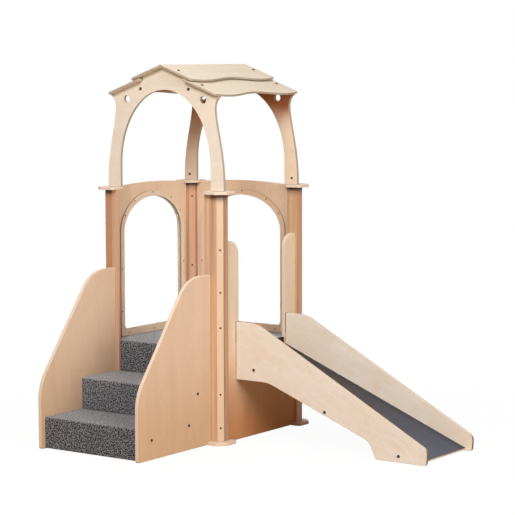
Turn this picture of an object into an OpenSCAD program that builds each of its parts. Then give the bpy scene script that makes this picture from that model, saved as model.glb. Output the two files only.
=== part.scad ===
// Toddler climbing gym: a square wooden tower with a board roof, carpeted steps on the
// front and a slide on the right. Plywood panels stand in grooves in four solid posts.
// Front is -Y (steps), right is +X (slide), left and back carry glazed windows.

/* [Tower] */
// Spacing of the posts from left to right, centre to centre
tower_w = 700; // [640:1:820]
// Spacing of the posts from front to back, centre to centre
tower_d = 690; // [640:1:820]
// Side of the square post section
post = 64; // [56:1:76]
// Leg of the chamfer on each post's outer corner
post_chamfer = 24; // [14:1:28]
// Extra depth of the back posts on the inside of the tower
post_inner = 12; // [6:1:16]
// Leg of the chamfer on the back posts' inner corner
inner_chamfer = 24; // [14:1:28]
// Height of the post tops above the floor
post_top = 1269; // [1200:1:1400]

/* [Foot and cap plates] */
// Thickness of the foot plates
foot_t = 17; // [12:1:24]
// Thickness of the cap plates
cap_t = 15; // [10:1:22]
// Length of a plate across the corner of the tower
plate_len = 178; // [170:1:190]
// Width of a plate along the tower's diagonal
plate_wid = 126; // [122:1:136]
// Length of a plate's straight outer edge
plate_nose = 62; // [50:1:76]
// Corner radius of a plate
plate_r = 16; // [8:1:22]
// Gap between a plate and the panels notched round it
plate_gap = 1; // [0.5:0.1:3]

/* [Panels] */
// Thickness of the plywood panels
ply = 18; // [15:0.5:21]
// Distance of a panel's outer face behind the posts' outer face
panel_inset = 13; // [8:1:16]
// Depth of a panel's edge in its post groove
tongue = 12; // [8:1:16]
// Clearance on each side of a tongue in its groove
groove_play = 0.2; // [0.1:0.05:0.4]
// Gap between the panels' lower edge and the floor
panel_lift = 4; // [2:1:12]
// Rise of the window panels' curved top from its ends
hump = 14; // [6:1:24]
// Height of the cap plates' top above the ends of that curve
hump_start = 6; // [2:1:10]
// Radius of the panels' small corners
edge_r = 4; // [2:0.5:8]
// Width of the front jambs beside the posts
jamb_w = 38; // [32:1:46]

/* [Windows] */
// Distance from a post's inner face to the window opening
window_side = 68; // [58:1:80]
// Height of the opening's lower edge above the platform
window_sill = 37; // [34:1:60]
// Distance of the opening's top below the post tops
window_drop = 54; // [44:1:80]
// Rise of the opening's elliptical top
window_rise = 185; // [140:1:220]
// Radius of the opening's lower corners
window_corner = 25; // [10:1:40]
// Width of the clamping ring round the opening
ring_w = 30; // [26:1:33]
// Thickness of the clamping ring
ring_t = 9; // [6:0.5:12]
// Thickness of the clear pane
pane_t = 4; // [3:0.5:6]
// Lap of the pane behind the ring
pane_lap = 12; // [8:1:14]

/* [Steps and platform] */
// Rise of each step
step_rise = 161.5; // [150:0.5:175]
// Run of each step
step_run = 288; // [260:1:320]
// Thickness of the step and deck boards
board_t = 18; // [15:0.5:21]
// Thickness of the carpet
carpet_t = 6; // [4:0.5:8]
// Distance of the lowest riser behind the front edge of the side panels
riser_inset = 28; // [15:1:60]
// Height of the side panels' top above the platform
guard_h = 380; // [320:1:440]
// Length of the flat top of the side panels, to the corner with the slope
guard_flat = 185; // [165:1:220]
// Height of the corner between the slope and the front edge
guard_front = 326; // [280:1:360]
// Radius of the upper bend of the side panels
guard_r_top = 200; // [100:5:210]
// Radius of the lower bend of the side panels
guard_r_front = 230; // [120:5:240]
// Radius of the side panels' lower front corner
guard_toe_r = 14; // [6:1:20]
// Thickness of the rails between the side panels
rail_t = 36; // [28:1:44]
// Place of the front rail: shares of the run behind its riser and of the rise below its tread
rail_front_share = [0.2743, 0.2446]; // [0.2:0.0001:0.8]
// Place of the upper rail: shares of the run behind its riser and of the rise below its tread
rail_upper_share = [0.5729, 0.1548]; // [0.1:0.0001:0.8]
// Place of the tie rail: shares of the run behind the upper riser and of the rise above the floor
rail_tie_share = [0.316, 0.7678]; // [0.2:0.0001:0.9]
// Height of the back tie rail
tie_h = 48; // [36:1:60]
// Height of the bearers under the deck
bearer_h = 60; // [45:1:80]
// Width of the bearers under the deck
bearer_w = 33; // [28:1:33]

/* [Slide] */
// Width over the slide's side panels
slide_w = 464; // [420:1:500]
// Reach of the slide from the tower's panel
slide_len = 1126; // [1060:1:1240]
// Height of the side panels above the platform at the top end
slide_wall = 128; // [100:1:160]
// Length of the flat top of the side panels, to the corner with the slope
slide_flat = 122; // [105:1:150]
// Drop from the platform to the top of the bed
slide_drop = 34; // [20:1:50]
// Depth of the side panels below the platform at the top end
slide_depth = 166; // [150:1:190]
// Length of the flat underside at the top end, to the corner with the slope
slide_under = 196; // [170:1:220]
// Height of the nose at the foot of the slide
slide_nose = 76; // [60:1:95]
// Length of the slide's foot on the floor
slide_foot = 285; // [240:1:320]
// Height of the heel behind the foot
slide_heel = 85; // [70:1:95]
// Radius of the side panels' upper bend
slide_r_top = 200; // [120:5:260]
// Radius of the side panels' bend under the top end
slide_r_under = 220; // [120:5:260]
// Radius of the nose
nose_r = 38; // [24:1:44]
// Lean of the nose's lower end
nose_lean = 6; // [0:1:12]
// Radius of the foot's front corner
toe_r = 14; // [6:1:18]
// Radius of the foot's back corner
heel_low_r = 12; // [4:1:18]
// Radius between the heel and the underside
heel_r = 70; // [40:1:90]
// Lean of the heel
heel_lean = 40; // [20:1:60]
// Height of the bed surface at its lower end
bed_toe = 15; // [13:1:24]
// Distance of the bed's lower end behind the nose
bed_inset = 42; // [30:1:70]
// Thickness of the bed board
bed_t = 9; // [6:0.5:12]
// Thickness of the smooth bed surface
surface_t = 3; // [2:0.5:4]
// Side of the square rails under the bed
bed_rail = 34; // [28:1:36]
// Places of the rails along the bed, as shares of its length from the top end
bed_rail_at = [0.1104, 0.5068, 0.9014]; // [0.05:0.0001:0.95]
// Thickness of the steel plates between the slide and the tower
hook_t = 2.5; // [1.5:0.5:4]
// Height of the steel plates
hook_h = 107; // [90:1:120]
// Distance of the bolts from the plates' ends, as a share of their height
hook_bolt_share = 0.22; // [0.15:0.01:0.3]
// Depth of the wide hook plate below the platform
hook_drop = 60; // [45:1:80]
// Distance from the slide's inner faces to the edges of the gate opening
gate_lip = 9; // [4:1:14]
// Height of the gate panel's side horns above the platform
horn_h = 545; // [480:1:600]
// Radius of the horns' inner top corners
horn_r = 76; // [20:1:84]
// Radius of the gate opening's lower corners
gate_r = 6; // [3:1:40]

/* [Gables and roof] */
// Width of a gable's legs at the cap plates
leg_w = 82; // [76:1:92]
// Distance of a leg's middle inside the post's middle
leg_in = 18; // [14:0.5:20]
// Distance of a gable's middle plane inside the posts' middle
gable_in = 17.5; // [10:0.5:19]
// Height of the straight part of the arch above the cap plates
arch_straight = 119; // [90:1:160]
// Rise of the arch's elliptical part
arch_rise = 385; // [340:1:420]
// Height of the gable above the arch's top
gable_web = 116; // [106:1:140]
// Distance of the gable's waist inside the post's middle
waist_in = 31; // [24:1:40]
// Lean of the legs as they come up to the waist
waist_lean = 11; // [6:1:16]
// Distance of the waist below the eaves
waist_drop = 68; // [50:1:80]
// Diameter of the round hole in each shoulder
eye_d = 38; // [30:1:44]
// Distance of the round hole inside the post's middle
eye_in = 104; // [98:1:112]
// Distance of the round hole below the roof
eye_drop = 56; // [46:1:62]
// Pitch of the roof
roof_pitch = 20; // [18:0.5:23]
// Thickness of the roof boards
roof_t = 12; // [9:0.5:15]
// Gap between an upper board and the lower board under it
roof_gap = 6; // [1:0.5:8]
// Reach of the roof boards past the gables' faces
roof_over = 33; // [10:1:45]
// Slope length of the upper boards, to the middle of the wavy edge
upper_run = 202; // [190:1:220]
// Lap of the upper boards over the lower ones
roof_lap = 54; // [40:1:70]
// Distance of the eaves' mean edge inside the posts' middle
eave_in = 9; // [0:1:24]
// Height of the waves in the boards' lower edges
wave_h = 17; // [8:1:22]
// Length of one wave
wave_len = 490; // [420:5:560]
// Radius of the roof boards' corners
roof_r = 16; // [8:1:30]
// Side of the square rails between the gables
purlin = 40; // [30:1:46]
// Distance of the rails from the middle of the roof, as a share of the posts' spacing
purlin_share = 0.22; // [0.19:0.005:0.25]
// Distance of the rails' middle below the upper roof boards
purlin_drop = 56; // [48:1:60]

/* [Fasteners] */
// Head diameter of the countersunk wood screws
screw_head = 10; // [8:0.5:12]
// Shank diameter of the countersunk wood screws
screw_d = 5; // [4:0.5:6]
// Length of the countersunk wood screws
screw_l = 60; // [50:1:70]
// Heights of the screws in the posts' chamfers
post_screw_z = [86, 257, 596, 775, 990]; // [40:1:1200]
// Heights of the screws in the back posts' inner chamfers
inner_screw_z = [816, 1196]; // [500:1:1200]
// Head diameter of the ring screws
ring_screw_head = 8; // [6:0.5:9]
// Shank diameter of the ring screws
ring_screw_d = 3.5; // [3:0.5:4]
// Length of the ring screws
ring_screw_l = 18; // [14:0.5:20]
// Head diameter of the dome-headed bolts
bolt_head = 16; // [12:0.5:20]
// Head height of the dome-headed bolts
bolt_head_h = 5; // [3:0.5:7]
// Shank diameter of the dome-headed bolts
bolt_d = 6; // [5:0.5:8]
// Length of the dome-headed bolts under the head
bolt_l = 70; // [60:1:80]
// Length of the roof bolts under the head
roof_bolt_l = 52; // [40:1:60]
// Diameter of the studs that join posts, caps and gables
stud_d = 8; // [6:1:10]
// Depth of the studs in the posts
stud_depth = 60; // [40:1:80]
// Height of the barrel nuts above the cap plates
nut_z = 32; // [24:1:44]
// Diameter of the barrel nuts
nut_d = 13; // [12:0.5:15]
// Wood left at each end of a barrel nut
nut_cover = 2; // [1:0.5:3]
// Length of the studs past the nuts
stud_past = 2; // [1:0.5:4]
// Distance of the studs outside the legs' middle, as a share of the legs' width
stud_share = 0.073; // [0:0.001:0.1]
// Places of the roof bolts: shares of the upper boards' run and of their lap
roof_bolt_share = [0.4307, 0.796]; // [0.3:0.0001:0.9]
// Angles of the screws in a ring's arch
ring_screw_turn = [27, 54, 90, 126, 153]; // [20:1:160]
// Places of the screws in a ring's legs, as shares of their height
ring_screw_share = [0.221, 0.646]; // [0.1:0.001:0.9]
// Distance of the outer deck screws from the middle, as a share of the way to the posts
deck_screw_share = 0.7; // [0.5:0.05:0.8]
// Places of the screws in the platform riser, as shares of the deck's height
riser_screw_share = [0.2, 0.62]; // [0.1:0.01:0.8]
// Places of the screws in the jambs, as shares of the side panels' height above the platform
jamb_screw_share = [0.2, 0.78]; // [0.1:0.01:0.9]
// Places of the jamb dowels, as shares of the posts' height
dowel_share = [0.12, 0.355, 0.59, 0.825]; // [0.05:0.005:0.95]
// Diameter of the jamb dowels
dowel_d = 8; // [6:1:10]
// Length of the jamb dowels
dowel_l = 40; // [30:1:50]
// Clearance round a fastener in its hole
fit = 0.15; // [0.05:0.05:0.3]

/* [Hidden] */
$fn = 48;

arc_steps = 12;
cut = 1;
side_play = 0.2;
birch = "Wheat";
timber = "BurlyWood";
wool = "DimGray";
laminate = "DarkSlateGray";
steel = "SlateGray";

// Rounded outlines: each corner is [x, y, radius]
function unit(v) = v / norm(v);
function corner_arc(p, q, n, r) =
    r <= 0 ? [q] :
    let (a = unit(p - q), b = unit(n - q), half = acos(a * b) / 2,
         c = q + unit(a + b) * r / sin(half), s = q + a * r / tan(half) - c,
         e = q + b * r / tan(half) - c, from = atan2(s.y, s.x),
         turn = (atan2(e.y, e.x) - from + 540) % 360 - 180)
    [for (i = [0 : arc_steps]) c + r * [cos(from + turn * i / arc_steps), sin(from + turn * i / arc_steps)]];
function flat(p) = [p[0], p[1]];
function outline(pts) =
    let (n = len(pts))
    [for (i = [0 : n - 1])
        each corner_arc(flat(pts[(i + n - 1) % n]), flat(pts[i]), flat(pts[(i + 1) % n]), pts[i][2])];
function bezier(p, steps) =
    [for (i = [0 : steps]) let (t = i / steps, s = 1 - t)
        s * s * s * p[0] + 3 * s * s * t * p[1] + 3 * s * t * t * p[2] + t * t * t * p[3]];

// Plates
plate_pts = outline([
    [plate_wid / 2, plate_nose / 2, plate_r], [0, plate_len / 2, plate_r],
    [-plate_wid / 2, plate_nose / 2, plate_r], [-plate_wid / 2, -plate_nose / 2, plate_r],
    [0, -plate_len / 2, plate_r], [plate_wid / 2, -plate_nose / 2, plate_r]
]);
plate_reach = max([for (p = plate_pts) (p.x + p.y) / sqrt(2)]);
cap_top = post_top + cap_t;
foot_clear = foot_t + plate_gap;

// Main planes of the tower
half_w = tower_w / 2;
half_d = tower_d / 2;
post_h = post / 2;
panel_face = post_h - panel_inset;
front_y = -half_d - post_h;
jamb_back = front_y + ply;
gate_x = half_w + panel_face;

// Steps and platform
platform_z = 3 * step_rise;
deck_z = platform_z - carpet_t;
riser_y = [for (k = [0 : 2]) jamb_back - carpet_t - step_run * (2 - k)];
stair_front = riser_y[0] - riser_inset;
stair_x = half_w - post_h;
stair_in = stair_x - ply;
tread_under = [for (k = [1 : 2]) k * step_rise - carpet_t - board_t];
jamb_in = stair_x - jamb_w;
rail_front_at = [
    riser_y[0] + step_run * rail_front_share[0], tread_under[0] - step_rise * rail_front_share[1]
];
rail_upper_at = [
    riser_y[1] + step_run * rail_upper_share[0], tread_under[1] - step_rise * rail_upper_share[1]
];
rail_tie_at = [riser_y[1] + step_run * rail_tie_share[0], step_rise * rail_tie_share[1]];
stair_bolts_at = [rail_front_at, rail_upper_at, rail_tie_at];

// Slide
slide_x = gate_x + hook_t;
slide_y = slide_w / 2;
slide_in = slide_y - ply;
slide_top = platform_z + slide_wall;
bed_start = [slide_x, platform_z - slide_drop];
bed_end = [slide_x + slide_len - bed_inset, bed_toe];
bed_dir = unit(bed_end - bed_start);
bed_angle = atan2(-bed_dir.y, bed_dir.x);
bed_len = norm(bed_end - bed_start);
bed_drop = surface_t + bed_t + bed_rail / 2 + side_play;
slide_low = platform_z - slide_depth;
toe_x = slide_len - nose_lean;
heel_x = toe_x - slide_foot;
slide_pts = outline([
    [0, slide_top, edge_r], [slide_flat, slide_top, slide_r_top], [slide_len, slide_nose, nose_r],
    [toe_x, 0, toe_r], [heel_x, 0, heel_low_r], [heel_x - heel_lean, slide_heel, heel_r],
    [slide_under, slide_low, slide_r_under], [0, slide_low, edge_r]
]);
gate_half = slide_in - gate_lip;
horn_top = platform_z + horn_h;
hook_bolt_z = [for (t = [1 - hook_bolt_share, hook_bolt_share]) slide_top - hook_h * t];

// Gables and roof
arch_half = half_w - leg_in - leg_w / 2;
arch_spring = cap_top + arch_straight;
arch_top = arch_spring + arch_rise;
peak_z = arch_top + gable_web;
roof_step = (roof_t + roof_gap) / cos(roof_pitch);
step_x = (upper_run - roof_lap) * cos(roof_pitch);
function seat(x) = peak_z - x * tan(roof_pitch);
function lower_seat(x) = seat(x) - roof_step;
gable_y = half_d - gable_in;
roof_half = gable_y + ply / 2 + roof_over;
eave_run = (half_w - eave_in) / cos(roof_pitch);
eave_z = lower_seat(half_w);
stud_x = half_w - leg_in + leg_w * stud_share;
purlin_at = purlin_share * tower_w;
purlin_z = seat(purlin_at) - purlin_drop;
roof_bolt_s = [upper_run * roof_bolt_share[0], upper_run + roof_lap * roof_bolt_share[1]];

// Windows
function window_outline(span, grow) =
    let (a = span / 2 - post_h - window_side + grow, top = post_top - window_drop + grow,
         spring = post_top - window_drop - window_rise, low = platform_z + window_sill - grow,
         r = window_corner + grow, n = 4 * arc_steps)
    concat(
        [for (i = [0 : n]) let (t = 180 * i / n) [a * cos(t), spring + (top - spring) * sin(t)]],
        corner_arc([-a, spring], [-a, low], [a, low], r),
        corner_arc([-a, low], [a, low], [a, spring], r));
function ring_points(span) =
    let (a = span / 2 - post_h - window_side + ring_mid, spring = post_top - window_drop - window_rise,
         rise = window_rise + ring_mid, low = platform_z + window_sill - ring_mid)
    concat(
        [for (t = ring_screw_turn) [a * cos(t), spring + rise * sin(t)]],
        [for (s = [-1, 1], t = ring_screw_share) [s * a, low + t * (spring - low)]],
        [for (s = [-1, 0, 1]) [s * (a - window_corner - ring_w), low]]);
ring_mid = (ring_w + pane_lap) / 2;
hump_edge = [half_w - plate_reach - plate_gap, half_d - plate_reach - plate_gap];

// The finished model is moved so that its box is centred over the origin
box_x = [-half_w - plate_reach, slide_x + max([for (p = slide_pts) p.x])];
box_y = [stair_front, half_d + plate_reach];
module in_frame() {
    translate([-(box_x[0] + box_x[1]) / 2, -(box_y[0] + box_y[1]) / 2, 0]) children();
}

// Shared shapes
module corner(sx, sy) {
    translate([sx * half_w, sy * half_d, 0])
        mirror([sx < 0 ? 1 : 0, 0, 0])
        mirror([0, sy < 0 ? 1 : 0, 0])
        children();
}
module board_xz(y, t) {
    translate([0, y + t, 0]) rotate([90, 0, 0]) linear_extrude(height = t) children();
}
module board_yz(x, t) {
    translate([x, 0, 0]) rotate([90, 0, 90]) linear_extrude(height = t) children();
}
module box(low, high) {
    translate(low) cube(high - low);
}
module screw(head, d, l) {
    difference() {
        union() {
            translate([0, 0, -head / 2]) cylinder(h = head / 2, d1 = d / 2, d2 = head);
            translate([0, 0, -l]) cylinder(h = l - head / 4, d = d);
        }
        translate([0, 0, -head / 4]) cylinder(h = head, d = head * 0.45, $fn = 6);
    }
}
module screw_hole(head, d, l) {
    translate([0, 0, fit - head / 2]) cylinder(h = head / 2, d1 = d / 2 + fit, d2 = head + 2 * fit);
    translate([0, 0, -l - fit]) cylinder(h = l + cut, d = d + 2 * fit);
    translate([0, 0, fit - 0.01]) cylinder(h = 2 * cut, d = head + 2 * fit);
}
module wood_screw() screw(screw_head, screw_d, screw_l);
module wood_screw_hole() screw_hole(screw_head, screw_d, screw_l);
module bolt(l) {
    difference() {
        union() {
            rotate_extrude() polygon(concat([[0, 0]],
                [for (i = [0 : arc_steps]) let (t = 90 * i / arc_steps)
                    [bolt_head / 2 * cos(t), bolt_head_h * sin(t)]]));
            translate([0, 0, -l]) cylinder(h = l + bolt_head_h / 2, d = bolt_d);
        }
        translate([0, 0, bolt_head_h / 2]) cylinder(h = bolt_head_h, d = bolt_d * 0.8, $fn = 6);
    }
}
module bolt_hole(l) {
    translate([0, 0, -l - fit]) cylinder(h = l + cut, d = bolt_d + 2 * fit);
}

// Places of the fasteners, each with its head's seat at the origin and its shank along -Z
module at_post_screws() {
    for (z = post_screw_z)
        translate([post_h - post_chamfer / 2, post_h - post_chamfer / 2, z]) rotate([0, 90, 45]) children();
}
module at_inner_screws() {
    at = inner_chamfer / 2 - post_h - post_inner;
    for (z = inner_screw_z) translate([at, at, z]) rotate([0, 90, 225]) children();
}
module at_foot_screws() {
    for (v = [-1, 1]) rotate([180, 0, 45]) translate([0, v * post / 4, -cut]) children();
}
module at_deck_screws() {
    for (sx = [-1, 1], y = [-1, 0, 1])
        translate([sx * (half_w + panel_face - ply - bearer_w / 2), y * half_d * deck_screw_share, deck_z])
            children();
}
module at_stair_screws() {
    for (sx = [-1, 1]) {
        for (t = riser_screw_share)
            translate([sx * (stair_x - ply / 2), jamb_back + board_t, t * deck_z])
                rotate([-90, 0, 0]) children();
        for (t = jamb_screw_share)
            translate([sx * (stair_x - ply / 2), jamb_back, platform_z + t * guard_h])
                rotate([-90, 0, 0]) children();
    }
}
module at_ring_screws(span) {
    for (p = ring_points(span)) translate([p.x, p.y, 0]) children();
}
module at_stair_bolts() {
    for (sx = [-1, 1], p = stair_bolts_at)
        translate([sx * stair_x, p.x, p.y]) rotate([0, sx * 90, 0]) children();
}
module at_slide_bolts() {
    for (sy = [-1, 1], t = bed_rail_at)
        on_bed(t * bed_len) translate([0, sy * slide_y, -bed_drop]) rotate([-sy * 90, 0, 0]) children();
}
module at_hook_bolts() {
    for (sy = [-1, 1], z = hook_bolt_z)
        translate([gate_x - ply, sy * (slide_y - ply / 2), z]) rotate([0, -90, 0]) children();
}
module at_purlin_bolts() {
    for (sx = [-1, 1], sy = [-1, 1])
        translate([sx * purlin_at, sy * (gable_y + ply / 2), purlin_z]) rotate([-sy * 90, 0, 0]) children();
}
module at_roof_bolts() {
    for (sx = [0, 1], sy = [-1, 1], k = [0, 1])
        mirror([sx, 0, 0]) on_roof(k) translate([roof_bolt_s[k], sy * gable_y, roof_t]) children();
}
module at_studs() {
    for (sx = [-1, 1], sy = [-1, 1]) translate([sx * stud_x, sy * gable_y, cap_top + nut_z]) children();
}
module at_dowels() {
    for (sx = [-1, 1], t = dowel_share)
        translate([sx * stair_x, front_y + ply / 2, t * post_top]) rotate([0, 90, 0]) children();
}

// Posts
module post_at(sx, sy) {
    top = sx > 0 ? horn_top : post_top + cut;
    reach = post_h + (sy > 0 ? post_inner : 0);
    bevel = sy > 0 ? inner_chamfer : 0;
    color(timber) in_frame() difference() {
        corner(sx, sy) difference() {
            translate([0, 0, foot_t]) linear_extrude(height = post_top - foot_t) polygon(concat(
                bevel > 0 ? [[-reach, bevel - reach], [bevel - reach, -reach]] : [[-reach, -reach]],
                [[post_h, -reach], [post_h, post_h - post_chamfer], [post_h - post_chamfer, post_h],
                 [-reach, post_h]]));
            box([panel_face - ply - groove_play, -reach - cut, foot_t - cut],
                [panel_face + groove_play, tongue + groove_play - post_h, top]);
            if (sy > 0) {
                box([-reach - cut, panel_face - ply - groove_play, foot_t - cut],
                    [tongue + groove_play - post_h, panel_face + groove_play, post_top + cut]);
                at_inner_screws() wood_screw_hole();
            }
            at_post_screws() wood_screw_hole();
            at_foot_screws() wood_screw_hole();
        }
        at_studs() translate([0, 0, -nut_z - cap_t - stud_depth - fit])
            cylinder(h = stud_depth + cap_t, d = stud_d + 2 * fit);
        if (sy < 0) at_dowels() dowel_hole();
    }
}
module post_front_left() post_at(-1, -1);
module post_front_right() post_at(1, -1);
module post_back_left() post_at(-1, 1);
module post_back_right() post_at(1, 1);

// Foot and cap plates, set across the corners
module foot_at(sx, sy) {
    color(birch) in_frame() corner(sx, sy) difference() {
        rotate(45) linear_extrude(height = foot_t) polygon(plate_pts);
        at_foot_screws() wood_screw_hole();
    }
}
module foot_front_left() foot_at(-1, -1);
module foot_front_right() foot_at(1, -1);
module foot_back_left() foot_at(-1, 1);
module foot_back_right() foot_at(1, 1);
module cap_at(sx, sy) {
    color(birch) in_frame() difference() {
        corner(sx, sy) translate([0, 0, post_top]) rotate(45)
            linear_extrude(height = cap_t) polygon(plate_pts);
        at_studs() translate([0, 0, -nut_z - cap_t - cut])
            cylinder(h = cap_t + 2 * cut, d = stud_d + 2 * fit);
    }
}
module cap_front_left() cap_at(-1, -1);
module cap_front_right() cap_at(1, -1);
module cap_back_left() cap_at(-1, 1);
module cap_back_right() cap_at(1, 1);

// Jambs beside the front posts, which take the stair sides
module jamb_at(sx) {
    low = min(sx * jamb_in, sx * stair_x);
    color(timber) in_frame() difference() {
        box([low, front_y, foot_t], [low + jamb_w, jamb_back, post_top]);
        at_dowels() dowel_hole();
        at_stair_screws() wood_screw_hole();
    }
}
module jamb_left() jamb_at(-1);
module jamb_right() jamb_at(1);
module dowel_hole() {
    cylinder(h = dowel_l + 2 * fit, d = dowel_d + 2 * fit, center = true);
}

// Window panels with a rebate for the pane, drawn with the outer face down
module window_blank(span, edge) {
    half = span / 2 - post_h + tongue;
    shoulder = post_top - plate_gap;
    n = 2 * arc_steps;
    difference() {
        linear_extrude(height = ply) difference() {
            polygon(concat(
                [[-edge, panel_lift], [edge, panel_lift], [edge, foot_clear], [half, foot_clear],
                 [half, shoulder], [edge, shoulder]],
                [for (i = [0 : n]) let (x = edge * (1 - 2 * i / n))
                    [x, cap_top - hump_start + hump * (1 - pow(x / edge, 2))]],
                [[-edge, shoulder], [-half, shoulder], [-half, foot_clear], [-edge, foot_clear]]));
            polygon(window_outline(span, 0));
        }
        translate([0, 0, ply - pane_t]) linear_extrude(height = pane_t + cut)
            polygon(window_outline(span, pane_lap + side_play));
        translate([0, 0, ply + ring_t]) at_ring_screws(span) ring_screw_hole();
    }
}
module ring_blank(span) {
    a = span / 2 - post_h - window_side + ring_w;
    polygon(window_outline(span, ring_w));
    translate([-a, platform_z + side_play]) square([2 * a, window_sill + window_corner]);
}
module window_ring(span) {
    difference() {
        translate([0, 0, ply]) linear_extrude(height = ring_t) difference() {
            ring_blank(span);
            polygon(window_outline(span, 0));
        }
        translate([0, 0, ply + ring_t]) at_ring_screws(span) ring_screw_hole();
    }
}
module window_pane(span) {
    translate([0, 0, ply - pane_t]) linear_extrude(height = pane_t) polygon(window_outline(span, pane_lap));
}
module ring_screw_hole() screw_hole(ring_screw_head, ring_screw_d, ring_screw_l);
module on_left() {
    translate([-half_w - panel_face, 0, 0]) rotate([90, 0, 90]) children();
}
module on_back() {
    translate([0, half_d + panel_face, 0]) rotate([90, 0, 0]) children();
}
module window_panel_left() color(birch) in_frame() on_left() window_blank(tower_d, hump_edge[1]);
module window_panel_back() color(birch) in_frame() on_back() window_blank(tower_w, hump_edge[0]);
module window_ring_left() color(birch) in_frame() on_left() window_ring(tower_d);
module window_ring_back() color(birch) in_frame() on_back() window_ring(tower_w);
module window_pane_left() color("LightCyan", 0.4) in_frame() on_left() window_pane(tower_d);
module window_pane_back() color("LightCyan", 0.4) in_frame() on_back() window_pane(tower_w);

// Panel on the slide side, open at the top between two horns
module gate_panel() {
    half = half_d - post_h + tongue;
    edge = hump_edge[1];
    bend = min(horn_r, half - tongue - gate_half);
    color(birch) in_frame() difference() {
        board_yz(gate_x - ply, ply) polygon(outline([
            [-edge, panel_lift, 0], [edge, panel_lift, 0], [edge, foot_clear, 0], [half, foot_clear, 0],
            [half, horn_top, 0], [gate_half, horn_top, bend], [gate_half, platform_z, gate_r],
            [-gate_half, platform_z, gate_r], [-gate_half, horn_top, bend], [-half, horn_top, 0],
            [-half, foot_clear, 0], [-edge, foot_clear, 0]
        ]));
        at_hook_bolts() bolt_hole(bolt_l);
    }
}

// Platform
module deck_outline(front) {
    x = half_w + panel_face - ply - side_play;
    y = half_d + panel_face - ply - side_play;
    px = half_w - post_h - side_play;
    py = half_d - post_h - side_play;
    bx = px - post_inner;
    by = py - post_inner;
    polygon([
        [-px, front], [px, front], [px, -py], [x, -py], [x, by], [bx + inner_chamfer, by],
        [bx, by + inner_chamfer], [bx, y], [-bx, y], [-bx, by + inner_chamfer],
        [-bx - inner_chamfer, by], [-x, by], [-x, -py], [-px, -py]
    ]);
}
module platform_deck() {
    color(birch) in_frame() difference() {
        translate([0, 0, deck_z - board_t]) linear_extrude(height = board_t) deck_outline(jamb_back);
        at_deck_screws() wood_screw_hole();
    }
}
module platform_carpet() {
    x = jamb_in - side_play;
    color(wool) in_frame() {
        translate([0, 0, deck_z]) linear_extrude(height = carpet_t) deck_outline(jamb_back);
        box([-x, riser_y[2], 2 * step_rise], [x, jamb_back, platform_z]);
    }
}
module platform_riser() {
    x = stair_x - side_play;
    color(birch) in_frame() difference() {
        box([-x, jamb_back, foot_clear], [x, jamb_back + board_t, deck_z - board_t]);
        at_stair_screws() wood_screw_hole();
    }
}
module bearer_at(sx) {
    x = sx * (half_w + panel_face - ply);
    y = half_d - post_h - side_play;
    color(timber) in_frame() difference() {
        box([min(x, x - sx * bearer_w), -y, deck_z - board_t - bearer_h],
            [max(x, x - sx * bearer_w), y - post_inner, deck_z - board_t]);
        at_deck_screws() wood_screw_hole();
    }
}
module bearer_left() bearer_at(-1);
module bearer_right() bearer_at(1);

// Steps
module stair_side_at(sx) {
    notch = -half_d - plate_reach - plate_gap;
    top = platform_z + guard_h;
    color(birch) in_frame() difference() {
        board_yz(sx > 0 ? stair_in : -stair_x, ply) polygon(outline([
            [front_y, foot_clear, 0], [front_y, top, edge_r], [front_y - guard_flat, top, guard_r_top],
            [stair_front, guard_front, guard_r_front], [stair_front, 0, guard_toe_r],
            [notch, 0, edge_r], [notch, foot_clear, edge_r]
        ]));
        at_stair_bolts() bolt_hole(bolt_l);
        at_stair_screws() wood_screw_hole();
    }
}
module stair_side_left() stair_side_at(-1);
module stair_side_right() stair_side_at(1);
module tread_outline(k, back) {
    x = stair_in - side_play;
    jx = jamb_in - side_play;
    front = riser_y[k] + carpet_t;
    if (k == 0) polygon([[-x, front], [x, front], [x, back], [-x, back]]);
    else polygon([
        [-x, front], [x, front], [x, front_y - side_play], [jx, front_y - side_play], [jx, back],
        [-jx, back], [-jx, front_y - side_play], [-x, front_y - side_play]
    ]);
}
module tread_at(k) {
    color(birch) in_frame() translate([0, 0, tread_under[k]])
        linear_extrude(height = board_t) tread_outline(k, riser_y[k + 1] + carpet_t);
}
module lower_tread() tread_at(0);
module upper_tread() tread_at(1);
module riser_at(k, low) {
    x = stair_in - side_play;
    y = riser_y[k] + carpet_t;
    color(birch) in_frame() box([-x, y, low], [x, y + board_t, tread_under[k]]);
}
module lower_riser() riser_at(0, panel_lift);
module upper_riser() riser_at(1, tread_under[0]);
module carpet_at(k) {
    x = stair_in - side_play;
    low = k == 0 ? panel_lift : step_rise;
    color(wool) in_frame() {
        box([-x, riser_y[k], low], [x, riser_y[k] + carpet_t, (k + 1) * step_rise]);
        translate([0, 0, (k + 1) * step_rise - carpet_t]) linear_extrude(height = carpet_t)
            tread_outline(k, riser_y[k + 1]);
    }
}
module lower_carpet() carpet_at(0);
module upper_carpet() carpet_at(1);
module stair_rail(p, h) {
    x = stair_in;
    color(timber) in_frame() difference() {
        box([-x, p.x - rail_t / 2, p.y - h / 2], [x, p.x + rail_t / 2, p.y + h / 2]);
        at_stair_bolts() bolt_hole(bolt_l);
    }
}
module stair_rail_front() stair_rail(rail_front_at, 2 * (tread_under[0] - rail_front_at.y));
module stair_rail_upper() stair_rail(rail_upper_at, 2 * (tread_under[1] - rail_upper_at.y));
module stair_rail_tie() stair_rail(rail_tie_at, tie_h);

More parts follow.
